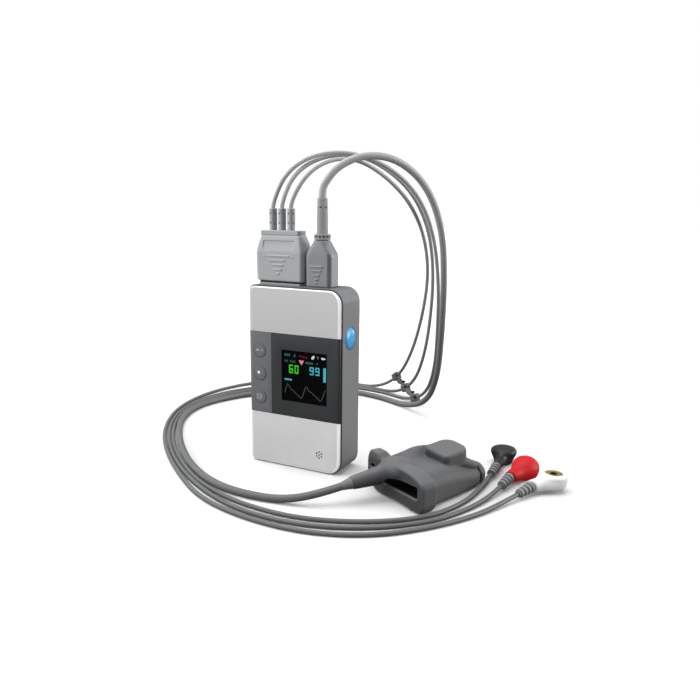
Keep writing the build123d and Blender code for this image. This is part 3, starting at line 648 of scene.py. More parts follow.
def surface_net(fn, lo, hi, step, settle=2):
    """quads over the zero level of fn inside the box"""
    axes = [np.arange(lo[i], hi[i] + step, step, dtype=np.float64) for i in range(3)]
    X, Y, Z = np.meshgrid(*axes, indexing="ij")
    f = fn((X, Y, Z))
    nx, ny, nz = f.shape
    total = np.zeros((nx - 1, ny - 1, nz - 1, 3))
    count = np.zeros((nx - 1, ny - 1, nz - 1))
    ins = f < 0
    crossings = []
    for ax in range(3):
        s0 = [slice(None)] * 3
        s1 = [slice(None)] * 3
        s0[ax], s1[ax] = slice(0, -1), slice(1, None)
        f0, f1 = f[tuple(s0)], f[tuple(s1)]
        m = ins[tuple(s0)] != ins[tuple(s1)]
        idx = np.argwhere(m)
        a, b = f0[m], f1[m]
        t = a / (a - b)
        pos = idx.astype(float)
        pos[:, ax] += t
        o = [i for i in range(3) if i != ax]
        for da in (0, -1):
            for db in (0, -1):
                c = idx.copy()
                c[:, o[0]] += da
                c[:, o[1]] += db
                ok = (c[:, o[0]] >= 0) & (c[:, o[1]] >= 0) & (c[:, o[0]] < total.shape[o[0]]) & (c[:, o[1]] < total.shape[o[1]])
                cc = c[ok]
                np.add.at(total, (cc[:, 0], cc[:, 1], cc[:, 2]), pos[ok])
                np.add.at(count, (cc[:, 0], cc[:, 1], cc[:, 2]), 1)
        crossings.append((ax, o, idx, a < 0))
    used = count > 0
    number = -np.ones(count.shape, int)
    number[used] = np.arange(used.sum())
    verts = total[used] / count[used][:, None] * step + np.array(lo)
    faces = []
    for ax, o, idx, first_in in crossings:
        ok = (idx[:, o[0]] >= 1) & (idx[:, o[1]] >= 1) & (idx[:, o[0]] <= total.shape[o[0]] - 1) & (idx[:, o[1]] <= total.shape[o[1]] - 1)
        idx, first_in = idx[ok], first_in[ok]
        quad = []
        for da, db in ((-1, -1), (0, -1), (0, 0), (-1, 0)):
            c = idx.copy()
            c[:, o[0]] += da
            c[:, o[1]] += db
            quad.append(number[c[:, 0], c[:, 1], c[:, 2]])
        q = np.stack(quad, 1)
        flip = first_in if ax != 1 else ~first_in
        q[~flip] = q[~flip][:, ::-1]
        faces.append(q)
    faces = np.concatenate(faces)
    e = step * 0.25
    for _ in range(settle):
        p = (verts[:, 0], verts[:, 1], verts[:, 2])
        v = fn(p)
        g = np.stack([(fn((p[0] + e, p[1], p[2])) - fn((p[0] - e, p[1], p[2]))) / (2 * e),
                      (fn((p[0], p[1] + e, p[2])) - fn((p[0], p[1] - e, p[2]))) / (2 * e),
                      (fn((p[0], p[1], p[2] + e)) - fn((p[0], p[1], p[2] - e))) / (2 * e)], 1)
        gg = np.maximum((g * g).sum(1), 0.05)
        move = (v / gg)[:, None] * g
        size = np.linalg.norm(move, axis=1)
        move *= np.minimum(1.0, step * 0.5 / np.maximum(size, 1e-9))[:, None]
        verts = verts - move * 0.9
    return verts, faces


def sculpt(name, fn, lo, hi, step, mat, place=None, settle=2):
    """mesh of a sculpted solid; place turns its own millimetres into the frame"""
    verts, faces = surface_net(fn, lo, hi, step, settle)
    if place is not None:
        verts = place(verts)
    ob = mesh_object(name, [], [], mat)
    me = ob.data
    me.clear_geometry()
    me.vertices.add(len(verts))
    me.vertices.foreach_set("co", (verts * MM).astype(np.float32).ravel())
    me.loops.add(faces.size)
    me.loops.foreach_set("vertex_index", faces.astype(np.int32).ravel())
    me.polygons.add(len(faces))
    me.polygons.foreach_set("loop_start", (np.arange(len(faces)) * 4).astype(np.int32))
    me.update(calc_edges=True)
    me.validate()
    me.polygons.foreach_set("use_smooth", np.ones(len(me.polygons), bool))
    return ob


# ------------------------------------------------------------------ shared helpers for hard parts
def apply_mesh(ob):
    """bake an object's modifiers into its mesh"""
    deps = bpy.context.evaluated_depsgraph_get()
    deps.update()
    me = bpy.data.meshes.new_from_object(ob.evaluated_get(deps), preserve_all_data_layers=True, depsgraph=deps)
    old = ob.data
    ob.modifiers.clear()
    ob.data = me
    bpy.data.meshes.remove(old)
    return ob


def crease(ob, angle=32.0):
    """smooth shading that stays sharp over edges steeper than the angle"""
    me = ob.data
    me.polygons.foreach_set("use_smooth", np.ones(len(me.polygons), bool))
    me.set_sharp_from_angle(angle=math.radians(angle))
    return ob


def carve(ob, cutters):
    """cut closed meshes out of an object"""
    for c in cutters:
        mod = ob.modifiers.new("cut", "BOOLEAN")
        mod.operation = "DIFFERENCE"
        mod.solver = "EXACT"
        mod.object = c
    apply_mesh(ob)
    for c in cutters:
        me = c.data
        bpy.data.objects.remove(c)
        bpy.data.meshes.remove(me)
    return ob


def loops_mesh(name, loops, mat, cap=True):
    """skin over closed loops of equal length, first and last closed by a face"""
    n = len(loops[0])
    verts = [(x * MM, y * MM, z * MM) for lp in loops for x, y, z in lp]
    faces = []
    for i in range(len(loops) - 1):
        for k in range(n):
            a, b = i * n + k, i * n + (k + 1) % n
            faces.append((a, b, b + n, a + n))
    if cap:
        faces.append(tuple(reversed(range(n))))
        last = (len(loops) - 1) * n
        faces.append(tuple(range(last, last + n)))
    ob = mesh_object(name, verts, faces, mat)
    bm = bmesh.new()
    bm.from_mesh(ob.data)
    bmesh.ops.recalc_face_normals(bm, faces=bm.faces)
    bm.to_mesh(ob.data)
    bm.free()
    return ob


def turned(name, centre, axis, profile, mat, sides=48, phase=0.0):
    """solid turned about an axis: profile is (along the axis, radius), both ends at radius 0 or capped"""
    w = Vector(axis).normalized()
    s1 = w.cross(Vector((0, 0, 1)))
    if s1.length < 1e-3:
        s1 = Vector((1, 0, 0))
    s1.normalize()
    s2 = w.cross(s1)
    c = Vector(centre)
    loops = []
    for t, r in profile:
        r = max(r, 0.002)
        loops.append([tuple(c + w * t + (s1 * math.cos(phase + 2 * math.pi * k / sides) + s2 * math.sin(phase + 2 * math.pi * k / sides)) * r)
                      for k in range(sides)])
    return loops_mesh(name, loops, mat)


def prism_y(name, pts, y0, y1, mat):
    """flat outline in X and Z pushed from y0 to y1"""
    return loops_mesh(name, [[(x, y0, z) for x, z in pts], [(x, y1, z) for x, z in pts]], mat)


def join(name, obs):
    """one object from several"""
    bm = bmesh.new()
    mats = []
    for o in obs:
        off = len(mats)
        for m in o.data.materials:
            if m not in mats:
                mats.append(m)
        tmp = bmesh.new()
        tmp.from_mesh(o.data)
        index = [mats.index(m) for m in o.data.materials] or [0]
        for f in tmp.faces:
            f.material_index = index[min(f.material_index, len(index) - 1)]
        me = bpy.data.meshes.new("part")
        tmp.to_mesh(me)
        tmp.free()
        bm.from_mesh(me)
        bpy.data.meshes.remove(me)
        old = o.data
        bpy.data.objects.remove(o)
        bpy.data.meshes.remove(old)
    me = bpy.data.meshes.new(name)
    bm.to_mesh(me)
    bm.free()
    for m in mats:
        me.materials.append(m)
    ob = bpy.data.objects.new(name, me)
    SCENE.collection.objects.link(ob)
    return ob


def smooth_copy(node, name, angle=30.0, mat=None):
    """a CAD node's own surface, welded and shaded smooth over its rounded edges"""
    src = NODES[node]
    me = src.data.copy()
    me.name = name
    ob = bpy.data.objects.new(name, me)
    SCENE.collection.objects.link(ob)
    ob.matrix_world = src.matrix_world.copy()
    bm = bmesh.new()
    bm.from_mesh(me)
    bmesh.ops.remove_doubles(bm, verts=bm.verts, dist=1e-6)
    bm.to_mesh(me)
    bm.free()
    if mat is not None:
        me.materials.clear()
        me.materials.append(mat)
    crease(ob, angle)
    even = ob.modifiers.new("even", "WEIGHTED_NORMAL")
    even.keep_sharp = True
    even.weight = 90
    apply_mesh(ob)
    return ob


# ------------------------------------------------------------------ front panels
BODY_W, BODY_H, Y_FRONT, PANEL_BACK = 59.1, 103.0, -11.35, -9.85
BAND_Z0, BAND_Z1, SPLIT_X, GAP = 30.2, 77.1, -14.6, 0.12
SIDE_IN = {"left": 0.3, "right": 0.75, "low": 0.6, "high": 0.75}      # how far inside the housing each side of the panels stands
EDGE = {"left": 2.2, "right": 1.9, "low": 0.9, "high": 0.8}   # how far in each side's soft edge starts
EDGE_DEPTH = 1.0
PLATE_BACK = -10.12


def front_loop(f, y, extra=0.0, n=12):
    """outline of the panels at share f of the soft edge"""
    x0, x1 = -BODY_W / 2 + SIDE_IN["left"], BODY_W / 2 - SIDE_IN["right"]
    z0, z1 = SIDE_IN["low"], BODY_H - SIDE_IN["high"]
    rl, rr = 3.5 - SIDE_IN["left"], 8.0 - SIDE_IN["right"]
    pts = []
    for cx, cz, r, a0, ex, ez in ((x1 - rr, z0 + rr, rr, -90, "right", "low"), (x1 - rr, z1 - rr, rr, 0, "right", "high"),
                                  (x0 + rl, z1 - rl, rl, 90, "left", "high"), (x0 + rl, z0 + rl, rl, 180, "left", "low")):
        rx = r - EDGE[ex] * f - extra
        rz = r - EDGE[ez] * f - extra
        for k in range(n + 1):
            a = math.radians(a0 + 90.0 * k / n)
            pts.append((cx + rx * math.cos(a), y, cz + rz * math.sin(a)))
    return pts


def front_plate(name, mat, cuts, edge_highlight_mat=None):
    """the part of the front plate on the kept side of each cut (point, normal pointing to the removed side)"""
    loops = [front_loop(0, PLATE_BACK), front_loop(0, Y_FRONT + EDGE_DEPTH)]
    for k in range(1, 9):
        a = math.radians(90.0 * k / 8)
        loops.append(front_loop(1 - math.cos(a), Y_FRONT + EDGE_DEPTH * (1 - math.sin(a))))
    loops.append(front_loop(1, Y_FRONT, 0.12))
    ob = loops_mesh(name, loops, mat)
    ob.data.materials.append(edge_highlight_mat or mat)
    bm = bmesh.new()
    bm.from_mesh(ob.data)
    for f in bm.faces:
        c = f.calc_center_median()
        # bevel faces of the front edge take material slot 1, the painted highlight on the silver panels
        if len(f.verts) == 4 and (Y_FRONT + 0.02) * MM < c.y < (Y_FRONT + EDGE_DEPTH + 0.3) * MM and c.x > -26.6 * MM:
            f.material_index = 1
    for co, no in cuts:
        co, no = Vector(co) * MM, Vector(no)
        bmesh.ops.bisect_plane(bm, geom=bm.verts[:] + bm.edges[:] + bm.faces[:], dist=1e-7, plane_co=co, plane_no=no, clear_outer=True)
        rim_edges = [e for e in bm.edges if e.is_boundary]
        bmesh.ops.holes_fill(bm, edges=rim_edges, sides=0)
        caps = [f for f in bm.faces if all(abs((v.co - co).dot(no)) < 1e-7 for v in f.verts)]
        edges = [e for f in caps for e in f.edges if all(v.co.y < (PLATE_BACK - 0.05) * MM for v in e.verts)]
        # the bevel along each cut edge also takes the painted-highlight slot
        bmesh.ops.bevel(bm, geom=list(set(edges)), offset=0.26 * MM, segments=2, profile=0.6, affect="EDGES", clamp_overlap=True, material=1)
    bmesh.ops.recalc_face_normals(bm, faces=bm.faces)
    if bm.calc_volume(signed=True) < 0:
        bmesh.ops.reverse_faces(bm, faces=bm.faces)
    bm.to_mesh(ob.data)
    bm.free()
    return ob


def hole_y(x, z, d, mat=None, sides=40, y0=-13.0, y1=-8.0):
    return turned("cutter", (x, y0, z), (0, 1, 0), [(0, d / 2), (y1 - y0, d / 2)], M["frame"], sides)


def rect_pts(cx, cz, w, h, r, n=6):
    pts = []
    for sx, sz, a0 in ((1, -1, -90), (1, 1, 0), (-1, 1, 90), (-1, -1, 180)):
        ox, oz = cx + sx * (w / 2 - r), cz + sz * (h / 2 - r)
        for k in range(n + 1):
            a = math.radians(a0 + 90.0 * k / n)
            pts.append((ox + r * math.cos(a), oz + r * math.sin(a)))
    return pts


upper = front_plate("upper_panel_skin", M["silver"], [((0, 0, BAND_Z1), (0, 0, -1))], M["silver_edge"])
crease(upper)
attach(upper, "transmitter")
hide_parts("upper_front_panel")

lower = front_plate("lower_panel_skin", M["silver"], [((0, 0, BAND_Z0), (0, 0, 1))], M["silver_edge"])
SPK_X, SPK_Z = 16.1, 10.6
spots = [(0.0, 0.0)] + [(1.75 * math.cos(math.radians(a)), 1.75 * math.sin(math.radians(a))) for a in range(30, 390, 60)]
carve(lower, [hole_y(SPK_X + a, SPK_Z + b, 1.1, sides=24) for a, b in spots])
crease(lower)
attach(lower, "transmitter")
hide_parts("lower_front_panel")

KEY_X, KEY_Z, KEY_D = -22.3, {"top": 66.2, "middle": 53.0, "bottom": 39.3}, 8.2
keypad = front_plate("keypad_skin", M["keypad"], [((0, 0, BAND_Z1 - GAP), (0, 0, 1)), ((0, 0, BAND_Z0 + GAP), (0, 0, -1)),
                                                  ((SPLIT_X - GAP / 2, 0, 0), (1, 0, 0))])
carve(keypad, [hole_y(KEY_X, z, KEY_D + 0.24, sides=64) for z in KEY_Z.values()])
crease(keypad)
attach(keypad, "transmitter")
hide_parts("keypad_panel")

SCR = (-7.35, 20.2, 39.6, 67.5)
bezel = front_plate("bezel_skin", M["bezel"], [((0, 0, BAND_Z1 - GAP), (0, 0, 1)), ((0, 0, BAND_Z0 + GAP), (0, 0, -1)),
                                               ((SPLIT_X + GAP / 2, 0, 0), (-1, 0, 0))])
lens_w, lens_h = SCR[1] - SCR[0] + 1.2, SCR[3] - SCR[2] + 1.2
lens_c = ((SCR[0] + SCR[1]) / 2, (SCR[2] + SCR[3]) / 2)
carve(bezel, [prism_y("cutter", rect_pts(lens_c[0], lens_c[1], lens_w, lens_h, 0.6), -13, -8, M["frame"])])
crease(bezel)
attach(bezel, "transmitter")
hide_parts("display_bezel")

def outline_pts(inset, y, n=14):
    pts = []
    for sx, sz, r, a0 in ((1, 0, 8.0, -90), (1, 1, 8.0, 0), (-1, 1, 3.5, 90), (-1, 0, 3.5, 180)):
        cx = sx * (BODY_W / 2 - r)
        cz = BODY_H - r if sz else r
        rr_ = max(r - inset, 0.3)
        for k in range(n + 1):
            a = math.radians(a0 + 90.0 * k / n)
            pts.append((cx + rr_ * math.cos(a), y, cz + rr_ * math.sin(a)))
    return pts


def ring_y(name, outer, inner, y0, y1, mat):
    """flat ring between two insets of the housing's outline"""
    loops = [outline_pts(outer, y0), outline_pts(outer, y1), outline_pts(inner, y1), outline_pts(inner, y0), outline_pts(outer, y0)]
    n = len(loops[0])
    verts = [(x * MM, y * MM, z * MM) for lp in loops[:4] for x, y, z in lp]
    faces = []
    for i in range(4):
        j = (i + 1) % 4
        for k in range(n):
            faces.append((i * n + k, i * n + (k + 1) % n, j * n + (k + 1) % n, j * n + k))
    ob = mesh_object(name, verts, faces, mat)
    bm = bmesh.new()
    bm.from_mesh(ob.data)
    bmesh.ops.recalc_face_normals(bm, faces=bm.faces)
    bm.to_mesh(ob.data)
    bm.free()
    return crease(ob)


# a dark ring behind the panel edges: painted shade in the gap between panels and housing
strip = ring_y("panel_gap_painted_shade", 0.14, 1.5, -10.04, -9.76, M["strip"])
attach(strip, "transmitter")
shell = smooth_copy("rear_housing", "rear_housing_skin", 30.0)
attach(shell, "transmitter")
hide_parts("rear_housing")
door = smooth_copy("battery_door", "battery_door_skin", 30.0)
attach(door, "battery_door_body")
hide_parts("battery_door")
dome = turned("side_button_skin", (0, -0.8, 76.1), (1, 0, 0), [(26.95, 0.0), (26.95, 5.95), (29.3, 5.95), (29.55, 5.85), (29.62, 5.65), (29.5, 5.5), (29.75, 5.42),
                                                              (30.1, 4.9), (30.4, 4.1), (30.62, 3.2), (30.78, 2.2), (30.87, 1.1), (30.9, 0.0)], M["button"], 64)
crease(dome, 50)
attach(dome, "side_button_body")
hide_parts("side_button")


# ------------------------------------------------------------------ printed and lit marks
def glow(name, colour, strength):
    """lit pixels: emission with the fine grid of a small screen"""
    m = Mat(name)
    m.set(Roughness=0.4, Base_Color=(0.0, 0.0, 0.0, 1.0), Emission_Strength=strength)
    n = m.noise(900.0, 2.0)
    c = m.ramp(n, "Fac", [(0.3, tuple(v * 0.88 for v in colour[:3])), (0.7, colour[:3])])
    m.l(c, "Color", m.b, "Emission Color")
    return m.m


def ink(name, colour):
    return plastic(name, colour, rough=0.5, vary=0.03, wear=0.0)


G = {
    "green": glow("lit_green", rgb(70, 215, 40), 1.0), "cyan": glow("lit_cyan", rgb(80, 195, 215), 1.0),
    "white": glow("lit_white", rgb(235, 240, 242), 1.0), "pink": glow("lit_pink", rgb(250, 150, 150), 1.0),
    "red": glow("lit_red", rgb(110, 22, 34), 1.0), "dim_green": glow("lit_dim_green", rgb(40, 92, 52), 1.0),
    "dim_cyan": glow("lit_dim_cyan", rgb(52, 104, 112), 1.0), "grey": glow("lit_grey", rgb(76, 86, 84), 1.0),
    "pale": glow("lit_pale", rgb(120, 132, 134), 1.0),
}
SCREEN_Y = -10.45
backing = prism_y("screen_black", rect_pts(lens_c[0], lens_c[1], lens_w - 0.04, lens_h - 0.04, 0.58), SCREEN_Y, PANEL_BACK, M["display"])
crease(backing)
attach(backing, "transmitter")
pane = prism_y("display_lens_pane", rect_pts(lens_c[0], lens_c[1], lens_w - 0.06, lens_h - 0.06, 0.57), Y_FRONT + 0.06, SCREEN_Y - 0.12, M["lens"])
crease(pane)
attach(pane, "transmitter")
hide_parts("display_lens")
lit = []


def patch(pts, colour, y=SCREEN_Y - 0.04):
    """a lit shape on the screen, from points in X and Z"""
    ob = loops_mesh("lit", [[(x, y, z) for x, z in pts], [(x, SCREEN_Y + 0.02, z) for x, z in pts]], G[colour])
    for f in ob.data.polygons:
        f.use_smooth = False
    lit.append(ob)


def scr(u, v):
    """a place on the screen: u from left, v from top, both 0 to 1"""
    return SCR[0] + (SCR[1] - SCR[0]) * u, SCR[3] - (SCR[3] - SCR[2]) * v


def bar(u0, v0, u1, v1, colour, r=0.12):
    (x0, z0), (x1, z1) = scr(u0, v0), scr(u1, v1)
    patch(rect_pts((x0 + x1) / 2, (z0 + z1) / 2, abs(x1 - x0), abs(z1 - z0), min(r, abs(x1 - x0) / 2.01, abs(z1 - z0) / 2.01), 3), colour)


def stroke(pts, w, colour):
    """a drawn line of even width through points in u and v"""
    q = [Vector((scr(*p)[0], scr(*p)[1])) for p in pts]
    left, right_ = [], []
    for i, p in enumerate(q):
        a, b = q[max(i - 1, 0)], q[min(i + 1, len(q) - 1)]
        d = (b - a).normalized()
        n = Vector((-d.y, d.x)) * w / 2
        left.append(p + n)
        right_.append(p - n)
    for i in range(len(q) - 1):
        patch([tuple(left[i]), tuple(left[i + 1]), tuple(right_[i + 1]), tuple(right_[i])], colour)


SEG = {"0": "abcdef", "6": "acdefg", "9": "abcdfg"}


def digit(ch, u0, v0, w, h, colour, t=0.030):
    """a plain numeral built from rounded strokes"""
    k = t * 0.75
    boxes = {"a": (0, 0, w, t), "d": (0, h - t, w, h), "g": (0, h / 2 - t / 2, w, h / 2 + t / 2),
             "f": (0, k, t * 0.92, h / 2), "b": (w - t * 0.92, k, w, h / 2), "e": (0, h / 2, t * 0.92, h - k), "c": (w - t * 0.92, h / 2, w, h - k)}
    for sname in SEG[ch]:
        a, b, c, d = boxes[sname]
        bar(u0 + a, v0 + b, u0 + c, v0 + d, colour, 0.35)


# crop measures of the lit picture as shares of the screen
digit("6", 0.135, 0.272, 0.095, 0.175, "green")
digit("0", 0.265, 0.272, 0.095, 0.175, "green")
digit("9", 0.615, 0.272, 0.095, 0.160, "cyan", 0.026)
digit("9", 0.745, 0.272, 0.095, 0.160, "cyan", 0.026)
bar(0.925, 0.262, 0.985, 0.548, "cyan", 0.25)
for u0, u1, c in ((0.035, 0.075, "dim_cyan"), (0.085, 0.125, "dim_cyan"), (0.135, 0.165, "dim_cyan")):
    bar(u0, 0.055, u1, 0.105, c)
bar(0.252, 0.050, 0.282, 0.115, "dim_cyan")
for k in range(5):
    bar(0.375 + 0.042 * k, 0.062 + 0.004 * k, 0.405 + 0.042 * k, 0.098 + 0.004 * k, "red")
patch([scr(0.655, 0.115), scr(0.660, 0.075), scr(0.690, 0.045), scr(0.730, 0.042), scr(0.725, 0.085), scr(0.700, 0.115)], "white")
bar(0.795, 0.045, 0.812, 0.100, "pale")
bar(0.780, 0.052, 0.826, 0.066, "pale")
bar(0.880, 0.062, 0.955, 0.100, "white")
bar(0.955, 0.072, 0.975, 0.090, "white")
for u0, u1 in ((0.035, 0.065), (0.075, 0.115), (0.160, 0.190), (0.200, 0.245), (0.255, 0.285)):
    bar(u0, 0.182, u1, 0.228, "dim_green")
patch([scr(0.365, 0.168), scr(0.395, 0.158), scr(0.425, 0.172), scr(0.455, 0.158), scr(0.485, 0.168), scr(0.428, 0.262)], "pink")
for u0, u1 in ((0.520, 0.545), (0.555, 0.600), (0.610, 0.650), (0.660, 0.690)):
    bar(u0, 0.178, u1, 0.222, "dim_cyan")
bar(0.770, 0.180, 0.800, 0.212, "dim_cyan")
for u0, u1 in ((0.030, 0.060), (0.068, 0.105), (0.112, 0.150), (0.158, 0.200)):
    bar(u0, 0.562, u1, 0.598, "cyan")
stroke([(0.035, 0.860), (0.060, 0.760), (0.105, 0.668), (0.130, 0.700), (0.185, 0.785), (0.235, 0.800), (0.270, 0.835),
        (0.340, 0.880), (0.395, 0.925), (0.430, 0.930), (0.470, 0.840), (0.520, 0.700), (0.545, 0.680), (0.590, 0.765), (0.660, 0.790),
        (0.720, 0.835), (0.800, 0.890), (0.850, 0.935), (0.880, 0.930), (0.925, 0.830), (0.965, 0.710)], 0.42, "grey")
picture = join("screen_picture", lit)
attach(picture, "transmitter")

INK = ink("mark_pale", rgb(176, 177, 178))
DOT = ink("mark_white", rgb(250, 250, 250))


def key_marks(which, shapes, mat):
    y = Y_FRONT - 0.25
    obs = []
    for pts in shapes:
        o = loops_mesh("mark", [[(x, y - 0.04, z) for x, z in pts], [(x, y + 0.1, z) for x, z in pts]], mat)
        for f in o.data.polygons:
            f.use_smooth = False
        obs.append(o)
    ob = join("key_%s_mark" % which, obs)
    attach(ob, "key_%s_body" % which)


def disc(cx, cz, r, n=20):
    return [(cx + r * math.cos(2 * math.pi * k / n), cz + r * math.sin(2 * math.pi * k / n)) for k in range(n)]


kx = KEY_X
kz = KEY_Z["top"]
key_marks("top", [[(kx - 2.6, kz + 0.1), (kx - 1.9, kz + 0.2), (kx - 1.5, kz + 1.1), (kx - 1.1, kz + 1.1), (kx - 0.7, kz + 0.2), (kx - 0.1, kz + 0.1),
                   (kx - 0.1, kz - 0.35), (kx - 2.6, kz - 0.35)], disc(kx + 1.7, kz + 0.2, 0.5)], INK)
kz = KEY_Z["middle"]
key_marks("middle", [disc(kx - 0.75, kz + 0.45, 0.85)], DOT)
kz = KEY_Z["bottom"]
square = []
for a in (-1.55, -0.3, 0.95):
    square.append(rect_pts(kx - 0.6, kz + 0.3 + a, 3.0, 0.42, 0.1, 2))
for a in (-1.45, 1.45):
    square.append(rect_pts(kx - 0.6 + a, kz + 0.0, 0.42, 2.7, 0.1, 2))
key_marks("bottom", square, INK)
for which, z in KEY_Z.items():
    y = Y_FRONT - 0.25
    o = turned("key_%s_dome" % which, (kx, y, z), (0, -1, 0), [(-0.3, 3.15), (0.0, 3.15), (0.02, 3.0), (0.03, 2.2), (0.03, 0.0)], M["key"], 48)
    crease(o, 40)
    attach(o, "key_%s_body" % which)


# ------------------------------------------------------------------ plugs
def table_at(z, rows, col):
    g, v = smooth_table([r[0] for r in rows], [r[col] for r in rows])
    return np.interp(np.clip(z, rows[0][0], rows[-1][0]), g, v)


def ramp_at(z, rows, col):
    return np.interp(z, [r[0] for r in rows], [r[col] for r in rows])


ECG_ROWS = [(104.4, 15.4, 5.60, 2.7), (113.0, 15.6, 5.75, 2.7), (120.6, 15.7, 5.80, 2.7), (122.2, 15.55, 5.62, 2.7), (126.0, 14.6, 5.05, 2.6),
            (129.0, 13.5, 4.45, 2.3), (130.1, 13.0, 4.2, 2.1)]
RIDGES = [(118.9, -20.6, -5.6), (116.4, -18.9, -8.6), (114.0, -17.0, -9.6), (111.4, -15.9, -10.7), (109.2, -14.5, -12.4)]


def ecg_fn(p):
    x, y, z = p
    hx, hy, r = ramp_at(z, ECG_ROWS, 1), ramp_at(z, ECG_ROWS, 2), ramp_at(z, ECG_ROWS, 3)
    d2 = sd_rect(x, y, -12.8, 0.0, hx, hy, r)
    d = sd_join(d2, np.abs(z - 117.6) - 12.5, 0.75)
    # bare label recess on the sloping part, then the five raised bars
    label = sd_rect(x, z, -13.2, 124.7, 9.8, 2.5, 0.5)
    label = np.where(y < 0, label, 5.0)
    d = smax(d, -np.maximum(label, -(d + 0.10 + 0.26 * np.clip((z - 122.4) / 3.0, 0, 1))), 0.12)
    for zc, x0, x1 in RIDGES:
        ridge = sd_box(p, ((x0 + x1) / 2, -5.62, zc), ((x1 - x0) / 2, 0.48, 0.52), 0.4)
        d = smin(d, ridge, 0.25)
    for xm in (-22.2, -3.9):
        mark_ = sd_box(p, (xm, -5.66, 118.2), (0.55, 0.36, 0.45), 0.3)
        d = smin(d, mark_, 0.2)
    d = np.minimum(d, sd_box(p, (-12.8, 0, 104.7), (13.3, 4.3, 0.7), 0.2))
    plate2 = sd_rect(x, y, -13.25, 0, 12.75, 4.1, 1.3)
    plate = sd_join(plate2, np.abs(z - 131.5) - 1.3, 0.28)
    neck2 = sd_rect(x, y, -13.25, 0, 12.35, 3.7, 1.0)
    neck = np.maximum(neck2, np.abs(z - 130.3) - 0.5)
    return np.minimum(np.minimum(d, plate), neck)


ecg_skin = sculpt("ecg_plug_skin", ecg_fn, (-29.5, -7.2, 103.4), (4.0, 7.2, 133.6), 0.32, M["plug"])
# faces at the foot of the ECG plug take the dark gap material: a painted shadow line under the plug body
ecg_skin.data.materials.append(M["strip"])
for f in ecg_skin.data.polygons:
    if f.center[2] < 105.0 * MM:
        f.material_index = 1
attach(ecg_skin, "ecg_plug")
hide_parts("ecg_plug_body")

SPO2_ROWS = [(103.15, 8.05, 5.35, 2.9), (119.4, 8.1, 5.4, 2.9), (121.0, 7.85, 5.35, 3.1), (123.4, 6.75, 5.15, 3.8), (125.6, 5.75, 4.85, 4.5),
             (127.0, 5.1, 4.6, 4.5), (127.9, 4.75, 4.4, 4.3)]


def spo2_fn(p):
    x, y, z = p
    hx, hy, r = ramp_at(z, SPO2_ROWS, 1), ramp_at(z, SPO2_ROWS, 2), ramp_at(z, SPO2_ROWS, 3)
    d2 = sd_rect(x, y, 11.6, 0.0, hx, hy, r)
    d = sd_join(d2, np.abs(z - 115.525) - 12.375, 0.6)
    for k, (zc, w) in enumerate(((114.0, 3.9), (111.8, 3.0), (109.4, 2.1), (107.1, 1.2), (105.1, 0.6))):
        ridge = sd_box(p, (10.9, -5.30, zc), (w, 0.48, 0.46 if k < 4 else 0.3), 0.3)
        d = smin(d, ridge, 0.25)
    return np.minimum(d, np.maximum(np.sqrt((x - 11.6) ** 2 + y ** 2) - 3.3, np.abs(z - 129.4) - 1.6))


spo2_skin = sculpt("spo2_plug_skin", spo2_fn, (2.4, -6.8, 102.4), (20.8, 6.4, 132.0), 0.3, M["plug_grey"])
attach(spo2_skin, "spo2_plug")
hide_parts("spo2_plug_body")


def around(x, y, n, shift=0.0):
    """distance, as an angle, from the nearest of n directions"""
    a = np.arctan2(y, x) + shift
    step = 2 * math.pi / n
    return np.abs((a + step / 2) % step - step / 2)


def collar_fn(p):
    x, y, z = p[0] - 11.6, p[1], p[2]
    r = np.sqrt(x * x + y * y)
    d = sd_join(r - 4.5, np.abs(z - 129.75) - 1.55, 0.35)
    cut = np.maximum(np.maximum(3.7 - r, np.abs(z - 129.9) - 0.6), around(x, y, 14) * r - 0.6)
    d = smax(d, -cut, 0.12)
    return np.maximum(d, 3.3 - r)


collar = sculpt("spo2_collar_skin", collar_fn, (6.6, -5.1, 127.8), (16.8, 5.1, 131.7), 0.2, M["relief"])
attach(collar, "spo2_plug")
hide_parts("spo2_plug_collar")


def spo2_boot_fn(p):
    x, y, z = p[0] - 11.6, p[1], p[2]
    r = np.sqrt(x * x + y * y)
    rr = np.interp(z, [131.0, 134.0, 150.3], [3.15, 3.05, 2.72])
    d = sd_join(r - rr, np.abs(z - 140.65) - 9.65, 0.45)
    slot_ = np.maximum(np.maximum(1.9 - r, np.abs(z - 145.3) - 0.42), around(x, y, 6, 0.35) * r - 0.62)
    return smax(d, -slot_, 0.12)


spo2_boot = sculpt("spo2_boot_skin", spo2_boot_fn, (7.8, -3.8, 130.4), (15.4, 3.8, 150.9), 0.25, M["relief"])
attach(spo2_boot, "spo2_plug")
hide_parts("spo2_boot")


def ecg_boots_fn(p):
    d = None
    for bx in (-19.6, -13.8, -8.0):
        x, y, z = p[0] - bx, p[1], p[2]
        r = np.sqrt(x * x + y * y)
        b = sd_join(r - 2.2, np.abs(z - 138.75) - 5.95, 0.35)
        for zc in (136.7, 141.8):
            slot_ = np.maximum(np.maximum(1.55 - r, np.abs(z - zc) - 0.42), around(x, y, 5, 0.5) * r - 0.55)
            b = smax(b, -slot_, 0.1)
        d = b if d is None else np.minimum(d, b)
    return d


ecg_boots = sculpt("ecg_boots_skin", ecg_boots_fn, (-22.4, -2.8, 132.2), (-5.2, 2.8, 145.3), 0.22, M["plug"])
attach(ecg_boots, "ecg_plug")
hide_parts("ecg_plug_boots")


